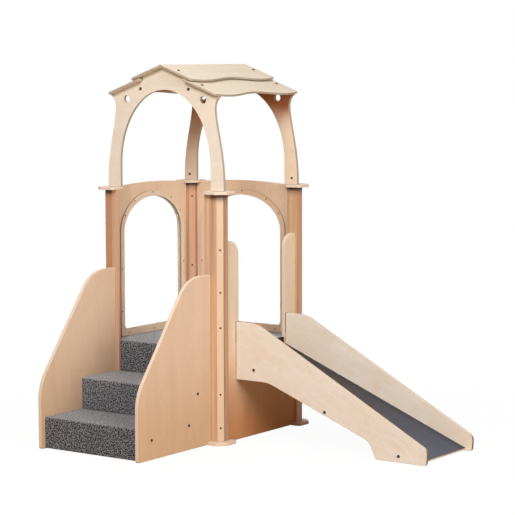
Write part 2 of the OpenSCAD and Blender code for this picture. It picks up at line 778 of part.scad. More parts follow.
// Slide
module on_bed(s) {
    translate([bed_start.x, 0, bed_start.y]) rotate([0, bed_angle, 0]) translate([s, 0, 0]) children();
}
module slide_side_at(sy) {
    color(birch) in_frame() difference() {
        translate([slide_x, 0, 0]) board_xz(sy > 0 ? slide_in : -slide_y, ply) polygon(slide_pts);
        at_slide_bolts() bolt_hole(bolt_l);
        at_hook_bolts() bolt_hole(bolt_l);
    }
}
module slide_side_front() slide_side_at(-1);
module slide_side_back() slide_side_at(1);
module slide_layer(top, t) {
    y = slide_in - side_play;
    back = t + top;
    on_bed(0) box([back * tan(bed_angle) + side_play, -y, -back], [bed_len, y, -top]);
}
module slide_bed() color(birch) in_frame() slide_layer(surface_t, bed_t);
module slide_surface() color(laminate) in_frame() slide_layer(0, surface_t);
module slide_rail_at(k) {
    color(timber) in_frame() difference() {
        on_bed(bed_rail_at[k] * bed_len) translate([0, 0, -bed_drop])
            cube([bed_rail, 2 * slide_in, bed_rail], center = true);
        at_slide_bolts() bolt_hole(bolt_l);
    }
}
module slide_rail_top() slide_rail_at(0);
module slide_rail_middle() slide_rail_at(1);
module slide_rail_foot() slide_rail_at(2);
module slide_hooks() {
    lip = gate_half - gate_r - side_play;
    edge = slide_x - side_play;
    color(steel) in_frame() {
        difference() {
            for (sy = [-1, 1])
                box([gate_x, sy * (slide_y - ply / 2) - ply / 2, slide_top - hook_h],
                    [slide_x, sy * (slide_y - ply / 2) + ply / 2, slide_top]);
            at_hook_bolts() bolt_hole(bolt_l);
        }
        union() {
            box([gate_x, -lip, platform_z - hook_drop], [edge, lip, platform_z + hook_t]);
            box([gate_x - ply, -lip, platform_z], [edge, lip, platform_z + hook_t]);
        }
    }
}

// Gables
leg_pull = 0.48;
waist_pull = [0.3, 0.55];
eave_pull = [0.6, 0.2];
function gable_half() =
    let (base = [arch_half + leg_w, cap_top], waist = [half_w - waist_in, eave_z - waist_drop],
         eave = [half_w, eave_z], n = 3 * arc_steps)
    concat(
        bezier([base, base + [0, leg_pull * (waist.y - base.y)],
            waist + [waist_lean, waist_pull[0] * (base.y - waist.y)], waist], n),
        bezier([waist, waist + [0, waist_pull[1] * waist_drop],
            eave - [eave_pull[0] * waist_in, eave_pull[1] * waist_drop], eave], arc_steps),
        [[step_x, lower_seat(step_x)], [step_x, seat(step_x)]]);
function mirrored(pts) = [for (i = [len(pts) - 1 : -1 : 0]) [-pts[i].x, pts[i].y]];
function arch_curve() =
    let (n = 6 * arc_steps)
    [for (i = [0 : n]) let (t = 180 * i / n) [-arch_half * cos(t), arch_spring + arch_rise * sin(t)]];
module gable_at(sy) {
    color(birch) in_frame() difference() {
        board_xz(sy * gable_y - ply / 2, ply) polygon(concat(
            [[arch_half, cap_top]], gable_half(), [[0, peak_z]], mirrored(gable_half()),
            [[-arch_half, cap_top]], arch_curve()));
        for (sx = [-1, 1])
            translate([sx * (half_w - eye_in), sy * gable_y, lower_seat(half_w - eye_in) - eye_drop])
                rotate([90, 0, 0]) cylinder(h = ply + 2 * cut, d = eye_d, center = true);
        at_purlin_bolts() bolt_hole(bolt_l);
        at_roof_bolts() bolt_hole(roof_bolt_l);
        at_studs() {
            translate([0, 0, -nut_z - cut]) cylinder(h = nut_z + nut_d + cut, d = stud_d + 2 * fit);
            translate([0, -sy * ply / 2, 0]) rotate([sy * 90, 0, 0]) translate([0, 0, nut_cover - ply])
                cylinder(h = ply, d = nut_d + 2 * fit);
        }
    }
}
module gable_front() gable_at(-1);
module gable_back() gable_at(1);
module purlin_side(sx) {
    y = gable_y - ply / 2;
    color(timber) in_frame() difference() {
        translate([sx * purlin_at, 0, purlin_z]) cube([purlin, 2 * y, purlin], center = true);
        at_purlin_bolts() bolt_hole(bolt_l);
    }
}
module purlin_left() purlin_side(-1);
module purlin_right() purlin_side(1);

// Roof boards, drawn on the right slope with their underside at the gable's seat
module on_roof(k) {
    translate([0, 0, peak_z - k * roof_step]) rotate([0, roof_pitch, 0]) children();
}
function wavy_edge(run) =
    let (n = 4 * arc_steps, r = roof_r, y1 = roof_half - r)
    concat(
        [for (i = [0 : n]) let (y = -y1 + 2 * y1 * i / n) [run - wave_h * cos(360 * y / wave_len), y]],
        [for (i = [1 : arc_steps]) let (t = 90 * i / arc_steps)
            [run - wave_h * cos(360 * y1 / wave_len) - r * (1 - cos(t)), y1 + r * sin(t)]]);
function wavy_board(top, run) =
    let (edge = wavy_edge(run), last = edge[len(edge) - 1])
    concat([[top, -last.y], [last.x, -last.y]],
        [for (i = [arc_steps - 1 : -1 : 0]) let (p = edge[len(edge) - 1 - (arc_steps - i)]) [p.x, -p.y]],
        edge, [[top, last.y]]);
module roof_upper() {
    difference() {
        on_roof(0) linear_extrude(height = roof_t) polygon(wavy_board(-roof_t, upper_run));
        box([-4 * roof_t, -roof_half - cut, peak_z - 6 * roof_t],
            [side_play / 2, roof_half + cut, peak_z + 6 * roof_t]);
        at_roof_bolts() bolt_hole(roof_bolt_l);
    }
}
module roof_lower() {
    difference() {
        on_roof(1) linear_extrude(height = roof_t)
            polygon(wavy_board(upper_run - roof_lap + side_play, eave_run));
        at_roof_bolts() bolt_hole(roof_bolt_l);
    }
}
module roof_upper_left() color(birch) in_frame() mirror([1, 0, 0]) roof_upper();
module roof_upper_right() color(birch) in_frame() roof_upper();
module roof_lower_left() color(birch) in_frame() mirror([1, 0, 0]) roof_lower();
module roof_lower_right() color(birch) in_frame() roof_lower();

// Fasteners, one group for each kind
module wood_screws() {
    color(steel) in_frame() {
        for (sx = [-1, 1], sy = [-1, 1]) corner(sx, sy) {
            at_post_screws() wood_screw();
            at_foot_screws() wood_screw();
            if (sy > 0) at_inner_screws() wood_screw();
        }
        at_deck_screws() wood_screw();
        at_stair_screws() wood_screw();
    }
}
module ring_screw() screw(ring_screw_head, ring_screw_d, ring_screw_l);
module ring_screws() {
    color(steel) in_frame() {
        on_left() translate([0, 0, ply + ring_t]) at_ring_screws(tower_d) ring_screw();
        on_back() translate([0, 0, ply + ring_t]) at_ring_screws(tower_w) ring_screw();
    }
}
module panel_bolts() {
    color(steel) in_frame() {
        at_stair_bolts() bolt(bolt_l);
        at_slide_bolts() bolt(bolt_l);
        at_hook_bolts() bolt(bolt_l);
        at_purlin_bolts() bolt(bolt_l);
    }
}
module roof_bolts() color(steel) in_frame() at_roof_bolts() bolt(roof_bolt_l);
module arch_studs() {
    color(steel) in_frame() at_studs() translate([0, 0, -nut_z - cap_t - stud_depth])
        cylinder(h = nut_z + cap_t + stud_depth + nut_d / 2 + stud_past, d = stud_d);
}
module barrel_nuts() {
    color(steel) in_frame() at_studs() difference() {
        rotate([90, 0, 0]) cylinder(h = ply - 2 * nut_cover, d = nut_d, center = true);
        cylinder(h = 2 * nut_d, d = stud_d + 2 * fit, center = true);
    }
}
module jamb_dowels() color(timber) in_frame() at_dowels() cylinder(h = dowel_l, d = dowel_d, center = true);

post_front_left();
post_front_right();
post_back_left();
post_back_right();
foot_front_left();
foot_front_right();
foot_back_left();
foot_back_right();
cap_front_left();
cap_front_right();
cap_back_left();
cap_back_right();
jamb_left();
jamb_right();
window_panel_left();
window_panel_back();
window_ring_left();
window_ring_back();
window_pane_left();
window_pane_back();
gate_panel();
platform_deck();
platform_carpet();
platform_riser();
bearer_left();
bearer_right();
stair_side_left();
stair_side_right();
lower_tread();
upper_tread();
lower_riser();
upper_riser();
lower_carpet();
upper_carpet();
stair_rail_front();
stair_rail_upper();
stair_rail_tie();
slide_side_front();
slide_side_back();
slide_bed();
slide_surface();
slide_rail_top();
slide_rail_middle();
slide_rail_foot();
slide_hooks();
gable_front();
gable_back();
purlin_left();
purlin_right();
roof_upper_left();
roof_upper_right();
roof_lower_left();
roof_lower_right();
wood_screws();
ring_screws();
panel_bolts();
roof_bolts();
arch_studs();
barrel_nuts();
jamb_dowels();
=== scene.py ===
"""Looks of a toddler climbing gym: a wooden tower with a board roof, carpeted steps and a slide."""

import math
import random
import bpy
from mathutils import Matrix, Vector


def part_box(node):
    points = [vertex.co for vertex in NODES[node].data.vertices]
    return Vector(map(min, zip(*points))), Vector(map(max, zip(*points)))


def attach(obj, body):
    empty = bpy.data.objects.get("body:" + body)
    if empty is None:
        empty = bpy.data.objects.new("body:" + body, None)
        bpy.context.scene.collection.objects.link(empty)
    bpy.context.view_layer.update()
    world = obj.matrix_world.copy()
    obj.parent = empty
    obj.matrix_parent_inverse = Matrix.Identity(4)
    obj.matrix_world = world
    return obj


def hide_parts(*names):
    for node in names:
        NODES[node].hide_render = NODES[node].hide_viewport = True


bl_info = {
    "name": "Toddler climbing gym",
    "version": (1, 0, 0),
    "blender": (4, 5, 0),
    "location": "View3D > Sidebar > Climbing gym",
    "description": "Finishes the packed climbing gym and sets its stage",
    "category": "Object",
}

from typing import NamedTuple

import bmesh
import bpy
from bpy.props import FloatProperty, FloatVectorProperty, IntProperty, PointerProperty
from bpy.types import Operator, Panel, PropertyGroup
from mathutils import Matrix, Vector

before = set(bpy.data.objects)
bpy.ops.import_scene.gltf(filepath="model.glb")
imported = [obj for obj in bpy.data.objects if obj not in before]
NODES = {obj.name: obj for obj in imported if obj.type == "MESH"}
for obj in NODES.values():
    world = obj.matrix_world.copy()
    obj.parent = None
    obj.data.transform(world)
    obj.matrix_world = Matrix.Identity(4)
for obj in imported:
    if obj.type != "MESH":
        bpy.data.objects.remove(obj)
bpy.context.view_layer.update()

MM = 0.001
WHITE = (1.0, 1.0, 1.0)
X_AXIS = Vector((1, 0, 0))
Y_AXIS = Vector((0, 1, 0))
Z_AXIS = Vector((0, 0, 1))

# Directions that boards are laid in
ROOF_PITCH = math.radians(20)
ROOF_RIGHT = Vector((math.sin(ROOF_PITCH), 0, math.cos(ROOF_PITCH)))
ROOF_LEFT = Vector((-math.sin(ROOF_PITCH), 0, math.cos(ROOF_PITCH)))
PLATE_GRAIN = Vector((0.8, 0.6, 0))
SLIDE_GRAIN = Vector((0.93, 0, -0.37)).normalized()

POSTS = ("post_front_left", "post_front_right", "post_back_left", "post_back_right")
FEET = ("foot_front_left", "foot_front_right", "foot_back_left", "foot_back_right")
CAPS = ("cap_front_left", "cap_front_right", "cap_back_left", "cap_back_right")


class Sheet(NamedTuple):
    """A plywood sheet: its thickness and its number of plies."""

    thickness: float
    plies: int


class Texture(NamedTuple):
    """A noise in a material, with its scales along the grain, across it and through it, per metre.

    shift moves it away from other noises with the same seed."""

    scales: tuple
    shift: int = 0
    detail: float = 2.0
    rough: float = 0.5
    warp: float = 0.0


class Stain(NamedTuple):
    """How a texture colours what it lies on: where it starts, where it is full, and its most.

    depth is the stain's colour as a share of the tint, one share or one for each channel."""

    start: float
    full: float
    most: float
    depth: float | tuple


class Lamp(NamedTuple):
    """A square lamp: its place, what it points at, and its size."""

    place: tuple
    target: tuple
    size: float


PANEL_SHEET = Sheet(18 * MM, 13)
ROOF_SHEET = Sheet(12 * MM, 9)
THIN_SHEET = Sheet(9 * MM, 7)
CAP_PLIES = 11
FOOT_PLIES = 12

# Where each group of pieces lies in the endless figure of its wood
SEEDS = {
    "posts": 1,
    "plates": 3,
    "jambs": 17,
    "window_left": 21,
    "window_back": 25,
    "gate": 31,
    "stair_sides": 40,
    "decks": 51,
    "risers": 53,
    "stair_rails": 57,
    "bearers": 59,
    "slide_sides": 61,
    "slide_bed": 67,
    "gables": 71,
    "purlins": 77,
    "roof": 81,
}
SEED_STEP = 3.7
AXIS_SHIFTS = (0.0, 11.3, 23.9)
POST_SEED_STEP = 2
RING_SEED_STEP = 2
SCUFF_SEED = 2
NOISE_RANGE = (0.3, 0.7)

# Birch plywood
BIRCH_BEND = Texture((1.6, 3.0, 3.0), detail=1.0)
BIRCH_BEND_REACH = 0.12
BIRCH_FIGURE = {
    "figure": Texture((1.3, 16.0, 3.0), detail=5.0, rough=0.55, warp=0.6),
    "ripple": Texture((9.0, 30.0, 9.0), shift=5, detail=4.0, rough=0.6, warp=0.8),
    "fibre": Texture((22.0, 900.0, 300.0), detail=3.0, rough=0.7),
    "pore": Texture((70.0, 1500.0, 500.0), shift=1, detail=1.0),
    "fleck": Texture((34.0, 210.0, 80.0), shift=9, detail=1.0),
}
BIRCH_CLOUDS = {
    "cloud": Texture((2.4, 3.4, 3.0), shift=2),
    "blot": Texture((11.0, 17.0, 9.0), shift=4, detail=5.0, rough=0.68),
}
BIRCH_EDGE = Texture((120.0, 120.0, 900.0), detail=3.0)
BIRCH_STAINS = {
    "ripple": Stain(0.42, 0.72, 0.24, (0.86, 0.78, 0.68)),
    "cloud": Stain(0.38, 0.66, 0.26, (0.94, 0.85, 0.76)),
    "blot": Stain(0.50, 0.66, 0.26, (0.91, 0.82, 0.73)),
    "fibre": Stain(0.35, 0.75, 0.10, 0.70),
    "pore": Stain(0.66, 0.74, 0.20, 0.48),
    "fleck": Stain(0.69, 0.76, 0.28, (0.62, 0.46, 0.34)),
}
BIRCH_BRIGHTNESS = 1.03
BIRCH_ROUGHNESS = (0.62, 0.72)
FIGURE_RANGE = (0.28, 0.72)
FIGURE_DEPTH = 0.92
FIBRE_HEIGHT = 0.6
CLOUDY_MOTTLE = 0.75

# Plywood edges, told from faces by how squarely they look along the board's normal
EDGE_FACING = (0.55, 0.93)
PLY_LINE = (0.35, 0.65)
PLY_HEIGHT = 0.5
EDGE_GRAIN_RANGE = (0.2, 0.8)
EDGE_GRAIN_LEAST = 0.55
EDGE_ROUGHER = 0.12
# Painted shade on the edges that look to the right
END_SHADE_FACING = (0.65, 0.95)
END_SHADE_TINT = (1.0, 0.82, 0.68)

# Heights between which a veneer's painted shade starts and is full, on the gate over a warmer veneer, and how
# far they wander
GATE_WARM_AND_SHADE = (0.72, 0.02)
STAIR_SHADE = (0.62, 0.05)
# Painted shade under the roof on the back gable
GABLE_ROOF_SHADE = (1.50, 1.71)
TONE_AND_SHADE_SWAY = 0.05
TONE_AND_SHADE_FACING = (0.0, 0.5)

# How dark the edges of boards are: painted shade on the rings and on the slide's edges that look to the
# right, the gables' own darker tone with painted shade under their arches, and the edges' own tone on the
# roof and the slide
# Painted shade on the rings' edges
RING_EDGE_SHADE = 0.45
# Gable edges: their own darker tone, with painted shade under the arches
GABLE_EDGE_TONE_AND_SHADE = 0.62
ROOF_EDGE = 0.60
SLIDE_EDGE = 0.88
# Painted shade on the slide's edges that look to the right
SLIDE_END_SHADE = 0.38

# Solid timber
TIMBER_SWAY = Texture((0.9, 5.0, 5.0), detail=1.0)
TIMBER_SWAY_REACH = (0.03, 0.02)
TIMBER_FIGURE = {
    "ring": Texture((0.55, 60.0, 60.0), detail=3.0, rough=0.6),
    "streak": Texture((1.1, 190.0, 190.0), shift=3, detail=3.0, rough=0.65),
    "fibre": Texture((26.0, 1100.0, 1100.0)),
}
TIMBER_STAVE = Texture((0.35, 22.0, 22.0), shift=8, detail=0.0)
TIMBER_STAINS = {
    "stave": Stain(0.40, 0.60, 0.40, (1.05, 1.16, 1.26)),
    "streak": Stain(0.46, 0.74, 0.55, (0.70, 0.50, 0.36)),
    "fibre": Stain(0.55, 0.80, 0.18, 0.55),
}
RING_RANGE = (0.32, 0.68)
RING_DARK = (0.76, 0.63, 0.50)
RING_LIGHT = 1.12
TIMBER_ROUGHNESS = (0.40, 0.52)
STREAK_HEIGHT = 0.5
# Painted light and shade on the posts' faces across X: lighter on most posts, darker on the front right one
X_FACE_FACING = (0.75, 0.98)
X_FACE_TINT = (1.0, 0.97, 0.94)
X_FACE_PAINTED_LIGHT = 1.08
X_FACE_PAINTED_SHADE = 0.78
# Paler chamfers: partly their cut across the rings, partly a painted highlight
CHAMFER_SLOPE = (0.2, 0.45)
CHAMFER_TINT = (1.22, 1.48, 1.75)
CHAMFER_FRONT = 0.64
CHAMFER_BACK = 0.46
# Painted shadow of the cap plates, darkening the posts towards their tops
CAP_SHADOW = (0.030, 0.010, 0.005)
CAP_SHADOW_FROM = 60 * MM
CAP_SHADOW_FULL = 6 * MM
CAP_SHADOW_CURVE = 2.2

# Slide surface
SCUFF = Texture((3.0, 220.0, 0.0), detail=3.0, rough=0.6)
LAMINATE_STAINS = {
    "cloud": Stain(0.35, 0.7, 0.3, 1.3),
    "scuff": Stain(0.60, 0.80, 0.10, 1.9),
}
# Painted reflections in the bed: browner at the top from the wooden gate, paler at the foot from the white
# room
LAMINATE_TOP_REFLECTION = (1.45, 0.45, 0.08)
LAMINATE_FOOT_REFLECTION = 2.7
LAMINATE_ROUGHNESS = (0.28, 0.38)
SCUFF_RANGE = (0.3, 0.8)
# Painted shade along both sides of the bed, where it meets the side panels
SIDE_SHADE_DEPTH = 0.35
SIDE_SHADE_REACH = (0.30, 0.50)
SIDE_SHADE_MOST = 0.55
SPECK_RANGE = (0.35, 0.65)
SPECK_DEPTH = 0.70

# Steel and panes
HOOK_ROUGHNESS = 0.45
FASTENER_ROUGHNESS = 0.38
STEEL_ROUGHER = 0.16
BLOTCH_RANGE = (0.35, 0.70)
BLOTCH_DARK = 0.75
BLOTCH_LIGHT = 1.7
PANE_TINT = (0.997, 0.999, 0.998)
PANE_ROUGHNESS = (0.0, 0.02)

# Carpets: each with the board under it and the shares of pale tone on its riser and on its tread: dust and
# wear, with painted light from above on the treads
CARPETS = (
    ("lower_carpet", "lower_tread", 0.11, 0.48),
    ("upper_carpet", "upper_tread", 0.25, 0.76),
    ("platform_carpet", "platform_deck", 0.16, 0.72),
)
CUT_GAP = 0.2 * MM
INNER_CHAMFER = 24 * MM
BEND_PITCH = 0.8
LOOP_SLIP = 0.22
YARN_WANDER = 0.004
YARN_STOPS = (0.20, 0.54, 0.84)
LOOP_SHARE = 0.36
PLY_SHARE = 0.12
TUFT_SHARE = 0.52
DRIFT_SHARE = 0.03
PLIES_PER_LOOP = 2.1
PLY_GROOVE = -0.4
LOOP_GAP = (0.25, 0.75)
# Painted shade in the gaps between loops
LOOP_GAP_SHADE = 0.30
TUFT_REACH = (0.14, 0.60)
TUFT_DUST = (1.3, 0.4)
TREAD_FACING = (0.3, 0.8)
SHEEN_TINT = (0.9, 0.88, 0.88, 1)

# Rounding of edges
SEAM_WIDTH = 0.02 * MM
FLAT_ANGLE = math.radians(0.4)
SHARP_ANGLE = math.radians(50)
ROUND_SEGMENTS = 3

# Stage
LAMPS = {
    "key": Lamp((0.7, -3.7, 3.9), (-0.3, 0.0, 0.9), 1.5),
    "side": Lamp((4.2, -1.6, 2.9), (-0.2, 0.0, 0.9), 2.4),
    "top": Lamp((-0.4, 0.2, 4.6), (-0.4, 0.2, 0.8), 2.4),
    "back": Lamp((-4.0, 3.6, 3.0), (-0.5, 0.3, 0.9), 2.4),
}
SENSOR_WIDTH = 36
VIEW_END = 200
FLOOR_HALF = 60.0
FLOOR_DROP = 0.5 * MM
FLOOR_WHITE = (0.95, 0.95, 0.95)
SHADOW_REACH = (0.8, 3.2)
SHADOW_GLOW = 0.955


# Settings
def colour(label, about, linear):
    return FloatVectorProperty(
        name=label, description=about, default=linear, size=3, min=0, max=1, subtype="COLOR"
    )


def length(label, about, metres):
    return FloatProperty(
        name=label, description=about, default=metres, min=0, subtype="DISTANCE", unit="LENGTH"
    )


def angle(label, about, degrees):
    return FloatProperty(
        name=label, description=about, default=math.radians(degrees), subtype="ANGLE", unit="ROTATION"
    )


def power(label, about, watts):
    return FloatProperty(name=label, description=about, default=watts, min=0, subtype="POWER", unit="POWER")


class GymWood(PropertyGroup):
    """Colours and edges of the wooden pieces."""

    gable_front: colour("Front gable", "Face veneer of the front gable", (0.82, 0.74, 0.635))
    gable_back: colour("Back gable", "Face veneer of the back gable's legs", (0.83, 0.67, 0.51))
    # Painted shade under the roof: the colour the back gable's front side turns to near its top
    gable_roof_shade: colour("Aged gable", "Darkened veneer of the back gable under the roof", (0.46, 0.16, 0.07))
    roof_birch: colour("Roof boards", "Face veneer of the roof boards", (0.72, 0.64, 0.52))
    slide_front: colour("Slide's front side", "Face veneer of the slide's front side", (0.805, 0.75, 0.685))
    slide_back: colour("Slide's back side", "Face veneer of the slide's back side", (0.915, 0.825, 0.715))
    gate_birch: colour("Gate panel", "Face veneer of the gate panel's horns", (0.85, 0.71, 0.545))
    # A warmer veneer near the floor, deepened as painted shade under the slide
    gate_low: colour("Gate panel's foot", "Warmer veneer of the gate near the floor", (0.62, 0.30, 0.13))
    window_birch: colour("Window panels", "Face veneer of the window panels", (0.84, 0.63, 0.46))
    ring_left: colour("Left ring", "Face veneer of the left window's ring", (0.84, 0.66, 0.495))
    ring_back: colour("Back ring", "Face veneer of the back window's ring", (0.80, 0.58, 0.42))
    stair_birch: colour("Stair sides", "Face veneer of the stair sides", (0.78, 0.59, 0.44))
    # Painted shade: the stair sides darker and warmer towards the floor
    stair_low: colour("Stair sides' foot", "Warmer veneer near the floor", (0.69, 0.475, 0.305))
    plate_birch: colour("Plates", "Face veneer of the plates and the hidden boards", (0.68, 0.55, 0.475))
    ply_light: colour("Light plies", "Long-grain layers in a plywood edge", (0.83, 0.71, 0.58))
    ply_dark: colour("Dark plies", "End-grain layers in a plywood edge", (0.66, 0.50, 0.37))
    post_near: colour("Right posts", "Solid wood of the two posts on the right", (0.63, 0.40, 0.255))
    post_far: colour("Left posts", "Solid wood of the two posts on the left", (0.56, 0.305, 0.18))
    jamb_timber: colour("Jamb timber", "Solid wood of the jambs and rails", (0.635, 0.41, 0.275))
    board_round: length("Board edge radius", "Rounding of the larger boards' edges", 2 * MM)
    fine_round: length("Fine edge radius", "Rounding of the posts, rails, arches and rings", 1.5 * MM)


class GymCarpet(PropertyGroup):
    """Looped carpet on the steps and the platform."""

    dark_yarn: colour("Dark yarn", "Darkest loops", (0.012, 0.009, 0.010))
    grey_yarn: colour("Grey yarn", "Middle loops", (0.080, 0.082, 0.098))
    light_yarn: colour("Light yarn", "Lightest loops", (0.64, 0.67, 0.76))
    # Pale tone of the treads: dust and wear, with painted light from above
    dust_and_light: colour("Dust", "Worn and dusty pile", (0.46, 0.475, 0.51))
    loop: length("Loop pitch", "Spacing of the carpet's loops", 3.1 * MM)
    tuft: length("Tuft pitch", "Spacing of the light tufts", 8.6 * MM)
    pile: length("Loop height", "How far the loops stand out", 1.2 * MM)
    nosing: length("Nosing radius", "Bend of the carpet over a step's front edge", 9 * MM)
    thickness: length("Thickness", "Thickness of the carpet", 6 * MM)
    seed: IntProperty(name="Seed", description="Start of the loops' random heights", default=4)


class GymOther(PropertyGroup):
    """Slide surface and metal."""

    laminate: colour("Slide surface", "Smooth dark laminate on the bed", (0.036, 0.042, 0.056))
    steel: colour("Dark steel", "Plates at the top of the slide", (0.020, 0.012, 0.008))
    bolt: colour("Brown steel", "Bolts and screws", (0.045, 0.026, 0.016))


class GymStage(PropertyGroup):
    """Camera, lamps and floor."""

    camera_at: FloatVectorProperty(
        name="Camera place", description="Where the camera stands", default=(5.68903, -8.04262, 1.95801),
        size=3, subtype="XYZ", unit="LENGTH",
    )
    camera_turn: angle("Camera turn", "Camera's angle round the tower from the front", 35.278)
    camera_tilt: angle("Camera tilt", "Camera's angle below the horizon", 5.807)
    camera_roll: angle("Camera roll", "Camera's turn about its own axis", -0.112)
    focal: FloatProperty(
        name="Focal length", description="Lens on a sensor 36 mm wide", default=138.466,
        subtype="DISTANCE_CAMERA",
    )
    key_power: power("Key lamp", "Power of the lamp in front", 143)
    side_power: power("Side lamp", "Power of the lamp on the right", 140)
    top_power: power("Top lamp", "Power of the lamp overhead", 30)
    back_power: power("Back lamp", "Power of the lamp behind on the left", 100)
    room_light: FloatProperty(name="Room light", description="Even light from all sides", default=0.24, min=0)
    room_tint: colour("Room tint", "Colour of the even light", (1.0, 0.82, 0.66))
    floor_tint: colour("Floor tint", "Colour of the light that the floor throws back", (0.60, 0.46, 0.33))


class GymSettings(PropertyGroup):
    """All settings of the climbing gym."""

    wood: PointerProperty(type=GymWood)
    carpet: PointerProperty(type=GymCarpet)
    other: PointerProperty(type=GymOther)
    stage: PointerProperty(type=GymStage)


def settings():
    return bpy.context.scene.climbing_gym


# Shader helpers
def fill(tree, node, sockets):
    """Fills a node's inputs with values or links."""
    for key, value in sockets.items():
        if isinstance(value, bpy.types.NodeSocket):
            tree.links.new(value, node.inputs[key])
        else:
            node.inputs[key].default_value = value


def put(tree, kind, sockets=None, **options):
    """Adds a node, sets its options, and fills its inputs."""
    node = tree.nodes.new(kind)
    for key, value in options.items():
        setattr(node, key, value)
    fill(tree, node, sockets or {})
    return node


def new_material(name):
    """A material with an empty node tree and its Principled shader joined to the output."""
    material = bpy.data.materials.new(name)
    material.use_nodes = True
    tree = material.node_tree
    tree.nodes.clear()
    shader = put(tree, "ShaderNodeBsdfPrincipled")
    put(tree, "ShaderNodeOutputMaterial", {"Surface": shader.outputs["BSDF"]})
    return material, tree, shader


def maths(tree, operation, *values):
    return put(tree, "ShaderNodeMath", dict(enumerate(values)), operation=operation).outputs[0]


def plus(tree, a, b):
    return maths(tree, "ADD", a, b)


def times(tree, a, b):
    return maths(tree, "MULTIPLY", a, b)


def dot(tree, vector, axis):
    """The part of a vector along a fixed axis."""
    node = put(tree, "ShaderNodeVectorMath", {0: vector, 1: tuple(axis)}, operation="DOT_PRODUCT")
    return node.outputs["Value"]


def squareness(tree, facing, axis):
    """How squarely a face looks along an axis, either way."""
    return maths(tree, "ABSOLUTE", dot(tree, facing, axis))


def spread(tree, value, low, high, to_low=0.0, to_high=1.0, smooth=False):
    """Maps a range of a value on to another, clamped."""
    node = put(
        tree, "ShaderNodeMapRange",
        {"Value": value, "From Min": low, "From Max": high, "To Min": to_low, "To Max": to_high},
        interpolation_type="SMOOTHSTEP" if smooth else "LINEAR",
    )
    return node.outputs["Result"]


def rgba(value):
    """A link as it is, or a colour with its alpha."""
    return value if isinstance(value, bpy.types.NodeSocket) else (*tuple(value)[:3], 1)


def mix(tree, share, a, b, blend="MIX"):
    """Mixes two colours. The Mix node's colour inputs are its seventh and eighth."""
    sockets = {0: share, 6: rgba(a), 7: rgba(b)}
    return put(tree, "ShaderNodeMix", sockets, data_type="RGBA", blend_type=blend).outputs[2]


def multiplied(tree, a, b):
    return mix(tree, 1.0, a, b, "MULTIPLY")


def shade(tint, depth):
    """A colour times a depth, or times one depth for each channel, held at 1."""
    depths = depth if isinstance(depth, tuple) else (depth,) * 3
    return tuple(min(1.0, c * d) for c, d in zip(tint, depths))


def noise(tree, place, scale=1.0, detail=2.0, rough=0.5, warp=0.0):
    node = put(
        tree, "ShaderNodeTexNoise",
        {"Vector": place, "Scale": scale, "Detail": detail, "Roughness": rough, "Distortion": warp},
    )
    return node.outputs["Fac"]


def object_place(tree):
    return put(tree, "ShaderNodeTexCoord").outputs["Object"]


def face_normal(tree):
    return put(tree, "ShaderNodeNewGeometry").outputs["True Normal"]


def grain_noise(tree, axes, texture, seed):
    """A texture with its own scale in each of the material's own directions."""
    start = (seed + texture.shift) * SEED_STEP
    parts = [
        plus(tree, times(tree, part, scale), start + shift)
        for part, scale, shift in zip(axes, texture.scales, AXIS_SHIFTS)
    ]
    place = put(tree, "ShaderNodeCombineXYZ", dict(enumerate(parts))).outputs[0]
    return noise(tree, place, detail=texture.detail, rough=texture.rough, warp=texture.warp)


def stained(tree, base, tint, looks, stains):
    """Lays textures over a base as stains, in the stains' order."""
    for name, stain in stains.items():
        share = spread(tree, looks[name], stain.start, stain.full, 0.0, stain.most)
        base = mix(tree, share, base, shade(tint, stain.depth))
    return base


def bump(tree, height, strength, distance):
    node = put(tree, "ShaderNodeBump", {"Height": height, "Strength": strength, "Distance": distance})
    return node.outputs["Normal"]


